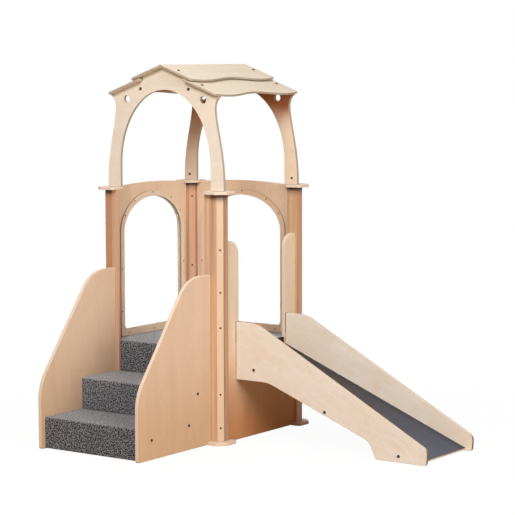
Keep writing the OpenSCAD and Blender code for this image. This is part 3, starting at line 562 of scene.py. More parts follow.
# Materials
def birch_board(name, tint, through, along, bottom, sheet, seed, ageing=None, edge_depth=1.0,
                end_depth=1.0, mottle=None):
    """Lacquered birch plywood: rotary-cut figure on the faces, layers in the edges.

    through is the board's normal, along its grain, bottom the place of its lower face along the normal.
    ageing holds a colour, the heights between which the veneer turns to it, and the side that does: painted
    shade on the stair sides and under the roof, and on the gate a warmer veneer deepened by painted shade.
    edge_depth is how dark the edges are, painted shade on the rings and partly so under the gables' arches;
    end_depth is the painted shade on the edges that look to the right; and mottle is how cloudy the faces
    are."""
    wood = settings().wood
    material, tree, shader = new_material(name)
    place = object_place(tree)
    facing = face_normal(tree)
    u, v, w = (dot(tree, place, axis) for axis in (along, through.cross(along), through))
    # Figure of the veneer, bent by a slow noise, with fibres and pores, and clouds that aren't bent
    bend = grain_noise(tree, (u, v, w), BIRCH_BEND, seed)
    v_bent = plus(tree, v, times(tree, bend, BIRCH_BEND_REACH))
    looks = {key: grain_noise(tree, (u, v_bent, w), texture, seed) for key, texture in BIRCH_FIGURE.items()}
    looks |= {key: grain_noise(tree, (u, v, w), texture, seed) for key, texture in BIRCH_CLOUDS.items()}
    ground = shade(tint, BIRCH_BRIGHTNESS)
    # Turns towards a colour by height: painted shade on the stair sides and under the roof, a warmer veneer
    # deepened by painted shade on the gate
    if ageing:
        tone_and_shade_colour, (none_at, full_at), side = ageing
        sway = spread(tree, looks["cloud"], *NOISE_RANGE, -TONE_AND_SHADE_SWAY, TONE_AND_SHADE_SWAY)
        height = plus(tree, dot(tree, place, Z_AXIS), sway)
        tone_and_shade_share = spread(tree, height, none_at, full_at, smooth=True)
        tone_and_shade_share = times(tree, tone_and_shade_share, spread(tree, dot(tree, facing, side), *TONE_AND_SHADE_FACING))
        ground = mix(tree, tone_and_shade_share, ground, tone_and_shade_colour)
    stains = dict(BIRCH_STAINS)
    if mottle is not None:
        stains.update({key: stains[key]._replace(most=mottle) for key in BIRCH_CLOUDS})
    tone = mix(tree, spread(tree, looks["figure"], *FIGURE_RANGE), shade(WHITE, FIGURE_DEPTH), WHITE)
    face = multiplied(tree, ground, stained(tree, tone, WHITE, looks, stains))
    # Layers of the edge
    layer = times(tree, maths(tree, "SUBTRACT", w, bottom), sheet.plies / sheet.thickness)
    wave = maths(tree, "PINGPONG", layer, 1.0)
    grain = grain_noise(tree, (u, v, w), BIRCH_EDGE, seed)
    line = spread(tree, wave, *PLY_LINE, smooth=True)
    dark = times(tree, line, spread(tree, grain, *EDGE_GRAIN_RANGE, EDGE_GRAIN_LEAST, 1.0))
    edge = mix(tree, dark, shade(wood.ply_light, edge_depth), shade(wood.ply_dark, edge_depth))
    # Painted shade on the edges that look to the right
    if end_depth != 1.0:
        right_edge_shade = spread(tree, dot(tree, facing, X_AXIS), *END_SHADE_FACING)
        edge = mix(tree, right_edge_shade, edge, multiplied(tree, edge, shade(END_SHADE_TINT, end_depth)))
    edge_share = spread(tree, squareness(tree, facing, through), *EDGE_FACING, 1.0, 0.0, smooth=True)
    rough = spread(tree, looks["fibre"], *NOISE_RANGE, *BIRCH_ROUGHNESS)
    layers = times(tree, wave, times(tree, edge_share, PLY_HEIGHT))
    height = plus(tree, times(tree, looks["fibre"], FIBRE_HEIGHT), layers)
    fill(tree, shader, {
        "Base Color": mix(tree, edge_share, face, edge),
        "Roughness": plus(tree, rough, times(tree, edge_share, EDGE_ROUGHER)),
        "Specular IOR Level": 0.14,
        "Normal": bump(tree, height, strength=0.18, distance=0.6 * MM),
    })
    return material


def solid_timber(name, tint, along, seed, chamfer=0.0, x_face_light_and_shade=1.0, cap_shadow_top=None):
    """Straight-grained solid timber with darker streaks and a clear satin lacquer.

    chamfer is how much paler the sloping faces are, partly from their cut across the rings and partly as
    painted highlight; x_face_light_and_shade is the painted light and shade on the faces across X, lighter
    above 1 and darker below; cap_shadow_top is the height of the post's top, below which a painted shadow
    of its cap darkens the wood."""
    material, tree, shader = new_material(name)
    side = Vector((along.y, along.z, along.x))
    place = object_place(tree)
    facing = face_normal(tree)
    u, v, w = (dot(tree, place, axis) for axis in (along, side, along.cross(side)))
    sway = grain_noise(tree, (u, v, w), TIMBER_SWAY, seed)
    v_bent, w_bent = (
        plus(tree, part, times(tree, sway, reach)) for part, reach in zip((v, w), TIMBER_SWAY_REACH)
    )
    looks = {
        key: grain_noise(tree, (u, v_bent, w_bent), texture, seed) for key, texture in TIMBER_FIGURE.items()
    }
    looks["stave"] = grain_noise(tree, (u, v, w), TIMBER_STAVE, seed)
    rings = spread(tree, looks["ring"], *RING_RANGE)
    base = mix(tree, rings, shade(tint, RING_DARK), shade(tint, RING_LIGHT))
    base = stained(tree, base, tint, looks, TIMBER_STAINS)
    # Painted light and shade on the faces across X
    if x_face_light_and_shade != 1.0:
        flat = spread(tree, squareness(tree, facing, X_AXIS), *X_FACE_FACING)
        base = mix(tree, flat, base, multiplied(tree, base, shade(X_FACE_TINT, x_face_light_and_shade)))
    if chamfer:
        # A sloping face is paler: partly its cut across the rings, partly a painted highlight
        slope = times(tree, squareness(tree, facing, X_AXIS), squareness(tree, facing, Y_AXIS))
        pale = spread(tree, slope, *CHAMFER_SLOPE, 0.0, chamfer)
        base = mix(tree, pale, base, shade(tint, CHAMFER_TINT))
    # Painted shadow of the cap plate: the wood darkens towards the post's top
    if cap_shadow_top:
        cap_shadow_share = spread(tree, u, cap_shadow_top - CAP_SHADOW_FROM, cap_shadow_top - CAP_SHADOW_FULL)
        base = mix(tree, maths(tree, "POWER", cap_shadow_share, CAP_SHADOW_CURVE), base, CAP_SHADOW)
    height = plus(tree, times(tree, looks["streak"], STREAK_HEIGHT), looks["fibre"])
    fill(tree, shader, {
        "Base Color": base,
        "Roughness": spread(tree, looks["streak"], *NOISE_RANGE, *TIMBER_ROUGHNESS),
        "Specular IOR Level": 0.28,
        "Normal": bump(tree, height, strength=0.16, distance=0.7 * MM),
    })
    return material


def carpet_loops(name, carpet, riser_dust_and_light, tread_dust_and_light):
    """Looped yarn in three shades, in light tufts on a dark ground, darker in the gaps between loops as
    painted shade, and paler on the treads, partly dust and wear, partly painted light from above.

    riser_dust_and_light and tread_dust_and_light are the shares of that pale tone on the upright and on the
    level part."""
    material, tree, shader = new_material(name)
    place = object_place(tree)
    wander = put(tree, "ShaderNodeTexNoise", {"Vector": place, "Scale": 90.0, "Detail": 1.0})
    moved = put(
        tree, "ShaderNodeVectorMath", {0: wander.outputs["Color"], 1: (YARN_WANDER,) * 3, 2: place},
        operation="MULTIPLY_ADD",
    ).outputs[0]
    # Places on the sheet laid flat, as a riser runs up and a tread runs back
    run = dot(tree, moved, Y_AXIS + Z_AXIS)
    flat = put(tree, "ShaderNodeCombineXYZ", {0: dot(tree, moved, X_AXIS), 1: run}).outputs[0]

    def cells(pitch, randomness):
        return put(
            tree, "ShaderNodeTexVoronoi", {"Vector": flat, "Scale": 1 / pitch, "Randomness": randomness},
            voronoi_dimensions="2D",
        ).outputs

    loop = cells(carpet.loop, randomness=0.9)
    ply = cells(carpet.loop / PLIES_PER_LOOP, randomness=1.0)
    tuft = cells(carpet.tuft, randomness=0.8)
    # Shade of each loop: its own, its ply's, its tuft's, and a slow drift
    pick = put(tree, "ShaderNodeSeparateColor", {0: loop["Color"]}).outputs[0]
    twist = put(tree, "ShaderNodeSeparateColor", {0: ply["Color"]}).outputs[1]
    light = spread(tree, tuft["Distance"], *TUFT_REACH, TUFT_SHARE, 0.0)
    drift = spread(tree, noise(tree, place, scale=14.0), *NOISE_RANGE, -DRIFT_SHARE, DRIFT_SHARE)
    shade_at = plus(tree, times(tree, pick, LOOP_SHARE), times(tree, twist, PLY_SHARE))
    shade_at = plus(tree, plus(tree, shade_at, light), drift)
    ramp = put(tree, "ShaderNodeValToRGB", {0: shade_at})
    stops = ramp.color_ramp.elements
    dark_at, grey_at, light_at = YARN_STOPS
    stops[0].position = dark_at
    stops[0].color = rgba(carpet.dark_yarn)
    stops[1].position = light_at
    stops[1].color = rgba(carpet.light_yarn)
    stops.new(grey_at).color = rgba(carpet.grey_yarn)
    # Darker at the rims of the loops: painted shade in the gaps between them
    gap_shade = spread(tree, loop["Distance"], *LOOP_GAP, 1.0, LOOP_GAP_SHADE)
    depth = put(tree, "ShaderNodeCombineColor", {0: gap_shade, 1: gap_shade, 2: gap_shade}).outputs[0]
    yarn = multiplied(tree, ramp.outputs[0], depth)
    # Paler on the treads: partly dust and wear, partly painted light from above
    dust_and_light = spread(tree, dot(tree, face_normal(tree), Z_AXIS), *TREAD_FACING, riser_dust_and_light, tread_dust_and_light)
    dust_and_light = times(tree, dust_and_light, spread(tree, tuft["Distance"], *TUFT_REACH, *TUFT_DUST))
    height = maths(tree, "SUBTRACT", 1.0, loop["Distance"])
    height = plus(tree, height, times(tree, ply["Distance"], PLY_GROOVE))
    fill(tree, shader, {
        "Base Color": mix(tree, dust_and_light, yarn, carpet.dust_and_light),
        "Roughness": 0.95,
        "Specular IOR Level": 0.15,
        "Sheen Weight": 0.45,
        "Sheen Roughness": 0.35,
        "Sheen Tint": SHEEN_TINT,
        "Normal": bump(tree, height, strength=0.7, distance=2 * MM),
    })
    return material


def slide_laminate(name, tint, down, top, foot, near, far):
    """Dark laminate with a fine grain and long scuffs. Browner at its top, a painted reflection of the wooden
    gate, and paler at its foot, a painted reflection of the white room; darker towards both sides, painted
    shade.

    top and foot are the ends of the bed along its own slope, near and far its sides."""
    material, tree, shader = new_material(name)
    place = object_place(tree)
    along = dot(tree, place, down)
    side = dot(tree, place, Y_AXIS)
    speck = noise(tree, place, scale=900.0, rough=0.6)
    looks = {
        "cloud": noise(tree, place, scale=5.0, detail=3.0),
        "scuff": grain_noise(tree, (along, side, along), SCUFF, SCUFF_SEED),
    }
    # Painted reflections: browner towards the top, paler towards the foot
    ground = mix(tree, spread(tree, along, top, foot), shade(tint, LAMINATE_TOP_REFLECTION), shade(tint, LAMINATE_FOOT_REFLECTION))
    # Painted shade: darker towards both sides of the bed
    off_middle = maths(tree, "ABSOLUTE", maths(tree, "SUBTRACT", side, (near + far) / 2))
    width = far - near
    unshaded_to, shaded_at = (width * share for share in SIDE_SHADE_REACH)
    side_shade = spread(tree, off_middle, unshaded_to, shaded_at, 0.0, SIDE_SHADE_MOST, smooth=True)
    ground = mix(tree, side_shade, ground, shade(tint, SIDE_SHADE_DEPTH))
    specks = mix(tree, spread(tree, speck, *SPECK_RANGE), shade(WHITE, SPECK_DEPTH), WHITE)
    fill(tree, shader, {
        "Base Color": stained(tree, multiplied(tree, ground, specks), tint, looks, LAMINATE_STAINS),
        "Roughness": spread(tree, looks["scuff"], *SCUFF_RANGE, *LAMINATE_ROUGHNESS),
        "Specular IOR Level": 0.06,
        "Normal": bump(tree, speck, strength=0.10, distance=0.4 * MM),
    })
    return material


def dark_steel(name, tint, rough):
    """Dark oxidised steel, worn brighter here and there."""
    material, tree, shader = new_material(name)
    place = object_place(tree)
    blotch = noise(tree, place, scale=160.0, detail=4.0, rough=0.65)
    fine = noise(tree, place, scale=1400.0)
    worn = spread(tree, blotch, *BLOTCH_RANGE)
    fill(tree, shader, {
        "Base Color": mix(tree, worn, shade(tint, BLOTCH_DARK), shade(tint, BLOTCH_LIGHT)),
        "Metallic": 0.10,
        "Specular IOR Level": 0.25,
        "Roughness": spread(tree, blotch, *NOISE_RANGE, rough, rough + STEEL_ROUGHER),
        "Normal": bump(tree, fine, strength=0.12, distance=0.3 * MM),
    })
    return material


def clear_acrylic(name):
    """Clear acrylic sheet with a faint polish haze."""
    material, tree, shader = new_material(name)
    haze = noise(tree, object_place(tree), scale=12.0, detail=3.0)
    fill(tree, shader, {
        "Base Color": mix(tree, haze, PANE_TINT, WHITE),
        "Roughness": spread(tree, haze, *NOISE_RANGE, *PANE_ROUGHNESS),
        "Transmission Weight": 1.0,
        "IOR": 1.04,
    })
    return material


# Mesh helpers
def finish_node(node, material):
    """Gives a piece its material."""
    materials = NODES[node].data.materials
    materials.clear()
    materials.append(material)


def soften(node, radius):
    """Rounds a piece's sharp edges without touching its mesh."""
    modifiers = NODES[node].modifiers
    weld = modifiers.new("weld_seams", "WELD")
    weld.merge_threshold = SEAM_WIDTH
    flatten = modifiers.new("merge_flats", "DECIMATE")
    flatten.decimate_type = "DISSOLVE"
    flatten.angle_limit = FLAT_ANGLE
    edge = modifiers.new("round_edges", "BEVEL")
    edge.width = radius
    edge.segments = ROUND_SEGMENTS
    edge.limit_method = "ANGLE"
    edge.angle_limit = SHARP_ANGLE
    edge.use_clamp_overlap = False
    edge.loop_slide = False


def board(node, material, radius):
    """Gives a piece its material and its rounded edges."""
    finish_node(node, material)
    if radius:
        soften(node, radius)


def low_face(node, through):
    """How far along its own normal a board's lower face lies."""
    return min(vertex.co.dot(through) for vertex in NODES[node].data.vertices)


def ply_material(node, name, tint, through, along, sheet, seed, **looks):
    """Plywood whose layers fit a piece cut from a sheet."""
    return birch_board(name, tint, through, along, low_face(node, through), sheet, seed, **looks)


def ply_board(node, tint, through, along, sheet, seed, radius, **looks):
    """Finishes a piece cut from a plywood sheet."""
    material = ply_material(node, node + "_birch", tint, through, along, sheet, seed, **looks)
    board(node, material, radius)


def timber(name, nodes, along, seed):
    """Finishes jambs or rails of solid timber, and returns their material."""
    wood = settings().wood
    material = solid_timber(name, wood.jamb_timber, along, seed)
    for node in nodes:
        board(node, material, wood.fine_round)
    return material


def spaced(stops, pitch):
    """Evenly spaced values between each pair of stops, all stops included."""
    values = [stops[0]]
    for start, end in zip(stops, stops[1:]):
        count = max(1, round((end - start) / pitch))
        values += [start + (end - start) * i / count for i in range(1, count + 1)]
    return values


def carpet_sheet(name, x_stops, low, front, top, y_stops, stays, carpet, seed):
    """A carpet that runs up a riser, over its front edge and back over the tread.

    The mesh has lines at x_stops and, on the tread, at y_stops. stays(x, y) tells which places of the
    sheet aren't cut away."""
    rng = random.Random(seed)
    bend = carpet.nosing
    turn = bend * math.pi / 2
    rise = top - bend - low
    flats = [rise + turn + y - front - bend for y in y_stops]
    path = spaced([0.0, rise], carpet.loop) + spaced([rise, rise + turn], carpet.loop * BEND_PITCH)[1:]
    path += spaced([rise + turn] + flats, carpet.loop)[1:]

    def at(s):
        """Place and outward direction on the sheet's upper side, s along its run."""
        if s <= rise:
            return Vector((0, front, low + s)), Vector((0, -1, 0))
        if s <= rise + turn:
            swing = (s - rise) / bend
            out = Vector((0, -math.cos(swing), math.sin(swing)))
            return Vector((0, front + bend, top - bend)) + out * bend, out
        return Vector((0, front + bend + s - rise - turn, top)), Vector((0, 0, 1))

    xs = spaced(x_stops, carpet.loop)
    build = bmesh.new()
    upper, under = {}, {}
    cells = []
    for i in range(len(xs) - 1):
        for j in range(len(path) - 1):
            middle, _ = at((path[j] + path[j + 1]) / 2)
            if stays((xs[i] + xs[i + 1]) / 2, middle.y):
                cells.append((i, j))
    used = set(cells)

    def corner(i, j):
        """Adds the two points of a corner, with a loop's random height and place off the sheet's rim."""
        if (i, j) in upper:
            return
        place, out = at(path[j])
        place += X_AXIS * xs[i]
        along = Vector((0, out.z, -out.y))
        inner = all((a, b) in used for a in (i - 1, i) for b in (j - 1, j))
        loop = rng.random() * carpet.pile if inner else 0.0
        slip = carpet.loop * LOOP_SLIP if inner else 0.0
        shift = X_AXIS * rng.uniform(-slip, slip) + along * rng.uniform(-slip, slip)
        upper[i, j] = build.verts.new(place + shift + out * (loop - carpet.pile))
        under[i, j] = build.verts.new(place - out * carpet.thickness)

    for i, j in cells:
        ring = [(i, j), (i + 1, j), (i + 1, j + 1), (i, j + 1)]
        for key in ring:
            corner(*key)
        build.faces.new([upper[key] for key in ring])
        build.faces.new([under[key] for key in reversed(ring)])
        sides = (((i, j - 1), 0, 1), ((i + 1, j), 1, 2), ((i, j + 1), 2, 3), ((i - 1, j), 3, 0))
        for beside, a, b in sides:
            if beside not in used:
                build.faces.new([upper[ring[b]], upper[ring[a]], under[ring[a]], under[ring[b]]])
    bmesh.ops.recalc_face_normals(build, faces=build.faces)
    mesh = bpy.data.meshes.new(name)
    build.to_mesh(mesh)
    build.free()
    for face in mesh.polygons:
        face.use_smooth = True
    piece = bpy.data.objects.new(name, mesh)
    bpy.context.scene.collection.objects.link(piece)
    return piece


# Pieces
class GYM_OT_posts(Operator):
    """Finish the four posts, the jambs beside the front ones and their dowels"""

    bl_idname = "gym.posts"
    bl_label = "Posts and jambs"

    def execute(self, context):
        wood = settings().wood
        for k, node in enumerate(POSTS):
            material = solid_timber(
                node + "_timber",
                wood.post_far if "left" in node else wood.post_near,
                Z_AXIS,
                SEEDS["posts"] + k * POST_SEED_STEP,
                # Sloping faces paler, partly from their cut and partly as a painted highlight
                chamfer=CHAMFER_BACK if "back" in node else CHAMFER_FRONT,
                # Painted light and shade on the faces across X
                x_face_light_and_shade=X_FACE_PAINTED_SHADE if node == "post_front_right" else X_FACE_PAINTED_LIGHT,
                # Painted shadow of the cap at the post's top
                cap_shadow_top=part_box(node)[1].z,
            )
            board(node, material, wood.fine_round)
        jamb = timber("jamb_timber", ("jamb_left", "jamb_right"), Z_AXIS, SEEDS["jambs"])
        finish_node("jamb_dowels", jamb)
        return {"FINISHED"}


class GYM_OT_plates(Operator):
    """Finish the cap plates on the posts and the foot plates under them"""

    bl_idname = "gym.plates"
    bl_label = "Cap and foot plates"

    def execute(self, context):
        wood = settings().wood
        for name, nodes, plies in (("cap", CAPS, CAP_PLIES), ("foot", FEET, FOOT_PLIES)):
            low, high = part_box(nodes[0])
            sheet = Sheet(high.z - low.z, plies)
            material = birch_board(
                name + "_birch", wood.plate_birch, Z_AXIS, PLATE_GRAIN, low.z, sheet, SEEDS["plates"]
            )
            for node in nodes:
                board(node, material, wood.board_round)
        return {"FINISHED"}


class GYM_OT_window_panels(Operator):
    """Finish the window panels, their clamping rings and panes"""

    bl_idname = "gym.window_panels"
    bl_label = "Window panels"

    def execute(self, context):
        wood = settings().wood
        pane = clear_acrylic("clear_acrylic")
        for side, through, ring_tint in (("left", X_AXIS, wood.ring_left), ("back", Y_AXIS, wood.ring_back)):
            seed = SEEDS["window_" + side]
            ply_board(
                "window_panel_" + side, wood.window_birch, through, Z_AXIS, PANEL_SHEET, seed, wood.fine_round
            )
            # The rings' darker edges are painted shade
            ply_board(
                "window_ring_" + side, ring_tint, through, Z_AXIS, THIN_SHEET, seed + RING_SEED_STEP,
                wood.fine_round, edge_depth=RING_EDGE_SHADE,
            )
            finish_node("window_pane_" + side, pane)
        return {"FINISHED"}


class GYM_OT_gate_panel(Operator):
    """Finish the panel that the slide hangs on"""

    bl_idname = "gym.gate_panel"
    bl_label = "Gate panel"

    def execute(self, context):
        wood = settings().wood
        material = ply_material(
            "gate_panel", "gate_birch", wood.gate_birch, X_AXIS, Z_AXIS, PANEL_SHEET, SEEDS["gate"],
            # Warmer veneer near the floor, deepened by painted shade
            ageing=(wood.gate_low, GATE_WARM_AND_SHADE, X_AXIS),
        )
        board("gate_panel", material, wood.board_round)
        return {"FINISHED"}


class GYM_OT_stair_sides(Operator):
    """Finish the two side panels of the steps"""

    bl_idname = "gym.stair_sides"
    bl_label = "Stair sides"

    def execute(self, context):
        wood = settings().wood
        for k, node in enumerate(("stair_side_left", "stair_side_right")):
            ply_board(
                node, wood.stair_birch, X_AXIS, Z_AXIS, PANEL_SHEET, SEEDS["stair_sides"] + k,
                # Painted shade, darker and warmer towards the floor
                wood.board_round, ageing=(wood.stair_low, STAIR_SHADE, X_AXIS),
            )
        return {"FINISHED"}


class GYM_OT_step_boards(Operator):
    """Finish the deck, treads, risers, rails and bearers"""

    bl_idname = "gym.step_boards"
    bl_label = "Deck and step boards"

    def execute(self, context):
        tint = settings().wood.plate_birch
        for through, seed, nodes in (
            (Z_AXIS, SEEDS["decks"], ("platform_deck", "lower_tread", "upper_tread")),
            (Y_AXIS, SEEDS["risers"], ("platform_riser", "lower_riser", "upper_riser")),
        ):
            for node in nodes:
                bottom, top = (corner.dot(through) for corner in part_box(node))
                sheet = Sheet(top - bottom, PANEL_SHEET.plies)
                material = birch_board(node + "_birch", tint, through, X_AXIS, bottom, sheet, seed)
                finish_node(node, material)
        stair_rails = ("stair_rail_front", "stair_rail_upper", "stair_rail_tie")
        timber("rail_timber", stair_rails, X_AXIS, SEEDS["stair_rails"])
        bearers = ("bearer_left", "bearer_right", "slide_rail_top", "slide_rail_middle", "slide_rail_foot")
        timber("bearer_timber", bearers, Y_AXIS, SEEDS["bearers"])
        return {"FINISHED"}


class GYM_OT_carpets(Operator):
    """Lay the looped carpet on the steps and the platform"""

    bl_idname = "gym.carpets"
    bl_label = "Carpets"

    def execute(self, context):
        carpet = settings().carpet
        for k, (node, under, riser_dust_and_light, tread_dust_and_light) in enumerate(CARPETS):
            low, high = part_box(node)
            x_stops, y_stops, stays = self.cut_plan(node, low, high)
            piece = carpet_sheet(
                node + "_loops", x_stops, low.z, low.y, high.z, y_stops, stays, carpet, carpet.seed + k
            )
            piece.data.materials.append(carpet_loops(node + "_loops", carpet, riser_dust_and_light, tread_dust_and_light))
            # The bend is shorter than the corner it rounds
            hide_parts(node)
            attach(piece, "root")
        return {"FINISHED"}

    def cut_plan(self, node, low, high):
        """Lines that a sheet is cut along, across it and along it, and a test of the places that stay."""
        jamb_low, jamb_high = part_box("jamb_left")
        door = (jamb_high.x + CUT_GAP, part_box("jamb_right")[0].x - CUT_GAP)
        if node == "lower_carpet":
            return [low.x, high.x], [high.y], lambda x, y: True
        if node == "upper_carpet":
            notch = jamb_low.y - CUT_GAP
            return [low.x, *door, high.x], [notch, high.y], lambda x, y: y < notch or door[0] < x < door[1]
        front_left, front_right, back_left, back_right = (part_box(post) for post in POSTS)
        front = (front_left[1].x + CUT_GAP, front_right[0].x - CUT_GAP)
        rear = (back_left[1].x + CUT_GAP, back_right[0].x - CUT_GAP)
        front_y = front_left[1].y + CUT_GAP
        rear_y = back_left[0].y - CUT_GAP

        def on_deck(x, y):
            if y < jamb_high.y:
                return door[0] < x < door[1]
            if y < front_y:
                return front[0] < x < front[1]
            inside = min(x - rear[0], rear[1] - x)
            return inside > 0 or y < rear_y or y - rear_y - inside < INNER_CHAMFER

        x_stops = [low.x, front[0], rear[0], *door, rear[1], front[1], high.x]
        return x_stops, [jamb_high.y, front_y, rear_y, high.y], on_deck


class GYM_OT_slide_sides(Operator):
    """Finish the two side panels of the slide"""

    bl_idname = "gym.slide_sides"
    bl_label = "Slide sides"

    def execute(self, context):
        wood = settings().wood
        for k, side in enumerate(("front", "back")):
            ply_board(
                "slide_side_" + side, getattr(wood, "slide_" + side), Y_AXIS, SLIDE_GRAIN, PANEL_SHEET,
                SEEDS["slide_sides"] + k, wood.board_round,
                # The edges that look to the right carry painted shade
                edge_depth=SLIDE_EDGE, end_depth=SLIDE_END_SHADE, mottle=CLOUDY_MOTTLE,
            )
        return {"FINISHED"}


class GYM_OT_slide_bed(Operator):
    """Finish the slide's bed board, its dark surface and the steel plates at its top"""

    bl_idname = "gym.slide_bed"
    bl_label = "Slide bed"

    def execute(self, context):
        wood, other = settings().wood, settings().other
        low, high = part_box("slide_surface")
        down = Vector((high.x - low.x, 0, low.z - high.z)).normalized()
        normal = Vector((-down.z, 0, down.x))
        bed = ply_material(
            "slide_bed", "bed_birch", wood.plate_birch, normal, down, THIN_SHEET, SEEDS["slide_bed"]
        )
        finish_node("slide_bed", bed)
        top = Vector((low.x, 0, high.z)).dot(down)
        foot = Vector((high.x, 0, low.z)).dot(down)
        surface = slide_laminate("slide_laminate", other.laminate, down, top, foot, low.y, high.y)
        finish_node("slide_surface", surface)
        finish_node("slide_hooks", dark_steel("hook_steel", other.steel, HOOK_ROUGHNESS))
        return {"FINISHED"}


class GYM_OT_gables(Operator):
    """Finish the arched gables and the rails between them"""

    bl_idname = "gym.gables"
    bl_label = "Gables"

    def execute(self, context):
        wood = settings().wood
        # Painted shade under the roof, on the front side of the back gable
        roof_shade = (wood.gable_roof_shade, GABLE_ROOF_SHADE, -Y_AXIS)
        for k, (node, ageing) in enumerate((("gable_front", None), ("gable_back", roof_shade))):
            ply_board(
                node, getattr(wood, node), Y_AXIS, X_AXIS, PANEL_SHEET, SEEDS["gables"] + k,
                # Darker edges: their own tone, with painted shade under the arches
                wood.fine_round, ageing=ageing, edge_depth=GABLE_EDGE_TONE_AND_SHADE,
            )
        timber("purlin_timber", ("purlin_left", "purlin_right"), Y_AXIS, SEEDS["purlins"])
        return {"FINISHED"}


class GYM_OT_roof_boards(Operator):
    """Finish the four roof boards"""

    bl_idname = "gym.roof_boards"
    bl_label = "Roof boards"

    def execute(self, context):
        wood = settings().wood
        for side, through in (("left", ROOF_LEFT), ("right", ROOF_RIGHT)):
            for k, level in enumerate(("upper", "lower")):
                ply_board(
                    "roof_" + level + "_" + side, wood.roof_birch, through, Y_AXIS, ROOF_SHEET,
                    SEEDS["roof"] + k, wood.board_round, edge_depth=ROOF_EDGE,
                )
        return {"FINISHED"}


class GYM_OT_fasteners(Operator):
    """Finish the bolts, screws, studs and nuts"""

    bl_idname = "gym.fasteners"
    bl_label = "Fasteners"

    def execute(self, context):
        steel = dark_steel("fastener_steel", settings().other.bolt, FASTENER_ROUGHNESS)
        for node in ("wood_screws", "ring_screws", "panel_bolts", "roof_bolts", "arch_studs", "barrel_nuts"):
            finish_node(node, steel)
        return {"FINISHED"}


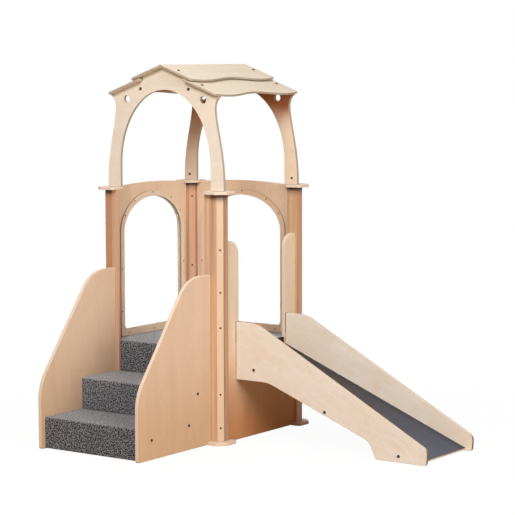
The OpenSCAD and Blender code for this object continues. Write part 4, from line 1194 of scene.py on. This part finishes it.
class GYM_OT_stage(Operator):
    """Set the camera, the lamps, the white room and the floor"""

    bl_idname = "gym.stage"
    bl_label = "Stage"

    def execute(self, context):
        stage = settings().stage
        scene = context.scene
        scene.view_settings.view_transform = "Standard"
        self.camera(scene, stage)
        self.room(scene, stage)
        for name, lamp in LAMPS.items():
            self.lamp(scene, name + "_lamp", lamp, getattr(stage, name + "_power"))
        self.floor(scene, stage)
        return {"FINISHED"}

    def camera(self, scene, stage):
        data = bpy.data.cameras.new("gym_camera")
        data.sensor_width = SENSOR_WIDTH
        data.lens = stage.focal
        data.clip_end = VIEW_END
        turn, tilt, roll = stage.camera_turn, stage.camera_tilt, stage.camera_roll
        forward = Vector((-math.sin(turn) * math.cos(tilt), math.cos(turn) * math.cos(tilt), -math.sin(tilt)))
        right = Vector((math.cos(turn), math.sin(turn), 0))
        up = right.cross(forward)
        rolled = right * math.cos(roll) + up * math.sin(roll)
        up = up * math.cos(roll) - right * math.sin(roll)
        camera = bpy.data.objects.new("gym_camera", data)
        axes = Matrix((rolled, up, -forward)).transposed().to_4x4()
        camera.matrix_world = Matrix.Translation(Vector(stage.camera_at)) @ axes
        scene.collection.objects.link(camera)
        scene.camera = camera

    def white_share(self, tree):
        """1 for what the camera sees, straight or in gloss and glass."""
        path = put(tree, "ShaderNodeLightPath").outputs
        seen = maths(tree, "MAXIMUM", path["Is Camera Ray"], path["Is Glossy Ray"])
        return maths(tree, "MAXIMUM", seen, path["Is Transmission Ray"])

    def room(self, scene, stage):
        world = bpy.data.worlds.new("white_room")
        world.use_nodes = True
        tree = world.node_tree
        tree.nodes.clear()
        white = self.white_share(tree)
        level = spread(tree, white, 0.0, 1.0, stage.room_light, 1.0)
        tint = mix(tree, white, stage.room_tint, WHITE)
        light = put(tree, "ShaderNodeBackground", {"Color": tint, "Strength": level})
        put(tree, "ShaderNodeOutputWorld", {"Surface": light.outputs[0]})
        scene.world = world

    def lamp(self, scene, name, lamp, watts):
        data = bpy.data.lights.new(name, "AREA")
        data.energy = watts
        data.size = lamp.size
        holder = bpy.data.objects.new(name, data)
        holder.location = lamp.place
        aim = Vector(lamp.target) - Vector(lamp.place)
        holder.rotation_euler = aim.to_track_quat("-Z", "Y").to_euler()
        scene.collection.objects.link(holder)

    def floor(self, scene, stage):
        """A floor that looks white, with a soft shadow close to the tower."""
        half = FLOOR_HALF
        mesh = bpy.data.meshes.new("floor")
        corners = [(-half, -half, 0), (half, -half, 0), (half, half, 0), (-half, half, 0)]
        mesh.from_pydata(corners, [], [(0, 1, 2, 3)])
        material = bpy.data.materials.new("pale_floor")
        material.use_nodes = True
        tree = material.node_tree
        tree.nodes.clear()
        white = self.white_share(tree)
        paint = put(tree, "ShaderNodeBsdfDiffuse", {"Color": mix(tree, white, stage.floor_tint, FLOOR_WHITE)})
        glow = put(tree, "ShaderNodeEmission", {"Color": rgba(WHITE), "Strength": 1.0})
        place = object_place(tree)
        reach = put(tree, "ShaderNodeVectorMath", {0: place}, operation="LENGTH").outputs["Value"]
        share = times(tree, white, spread(tree, reach, *SHADOW_REACH, SHADOW_GLOW, 1.0, smooth=True))
        both = put(tree, "ShaderNodeMixShader", {0: share, 1: paint.outputs[0], 2: glow.outputs[0]})
        put(tree, "ShaderNodeOutputMaterial", {"Surface": both.outputs[0]})
        mesh.materials.append(material)
        floor = bpy.data.objects.new("floor", mesh)
        floor.location.z = -FLOOR_DROP
        scene.collection.objects.link(floor)


STEPS = (
    GYM_OT_posts,
    GYM_OT_plates,
    GYM_OT_window_panels,
    GYM_OT_gate_panel,
    GYM_OT_stair_sides,
    GYM_OT_step_boards,
    GYM_OT_carpets,
    GYM_OT_slide_sides,
    GYM_OT_slide_bed,
    GYM_OT_gables,
    GYM_OT_roof_boards,
    GYM_OT_fasteners,
    GYM_OT_stage,
)


class GYM_PT_sidebar(Panel):
    """Lists the climbing gym's steps"""

    bl_idname = "GYM_PT_sidebar"
    bl_label = "Climbing gym"
    bl_space_type = "VIEW_3D"
    bl_region_type = "UI"
    bl_category = "Climbing gym"

    def draw(self, context):
        for step in STEPS:
            self.layout.operator(step.bl_idname)


CLASSES = (GymWood, GymCarpet, GymOther, GymStage, GymSettings, *STEPS, GYM_PT_sidebar)


def register():
    for item in CLASSES:
        bpy.utils.register_class(item)
    bpy.types.Scene.climbing_gym = PointerProperty(type=GymSettings)


def unregister():
    del bpy.types.Scene.climbing_gym
    for item in reversed(CLASSES):
        bpy.utils.unregister_class(item)


def main():
    register()
    for step in STEPS:
        group, name = step.bl_idname.split(".")
        getattr(getattr(bpy.ops, group), name)()


if __name__ == "__main__":
    main()
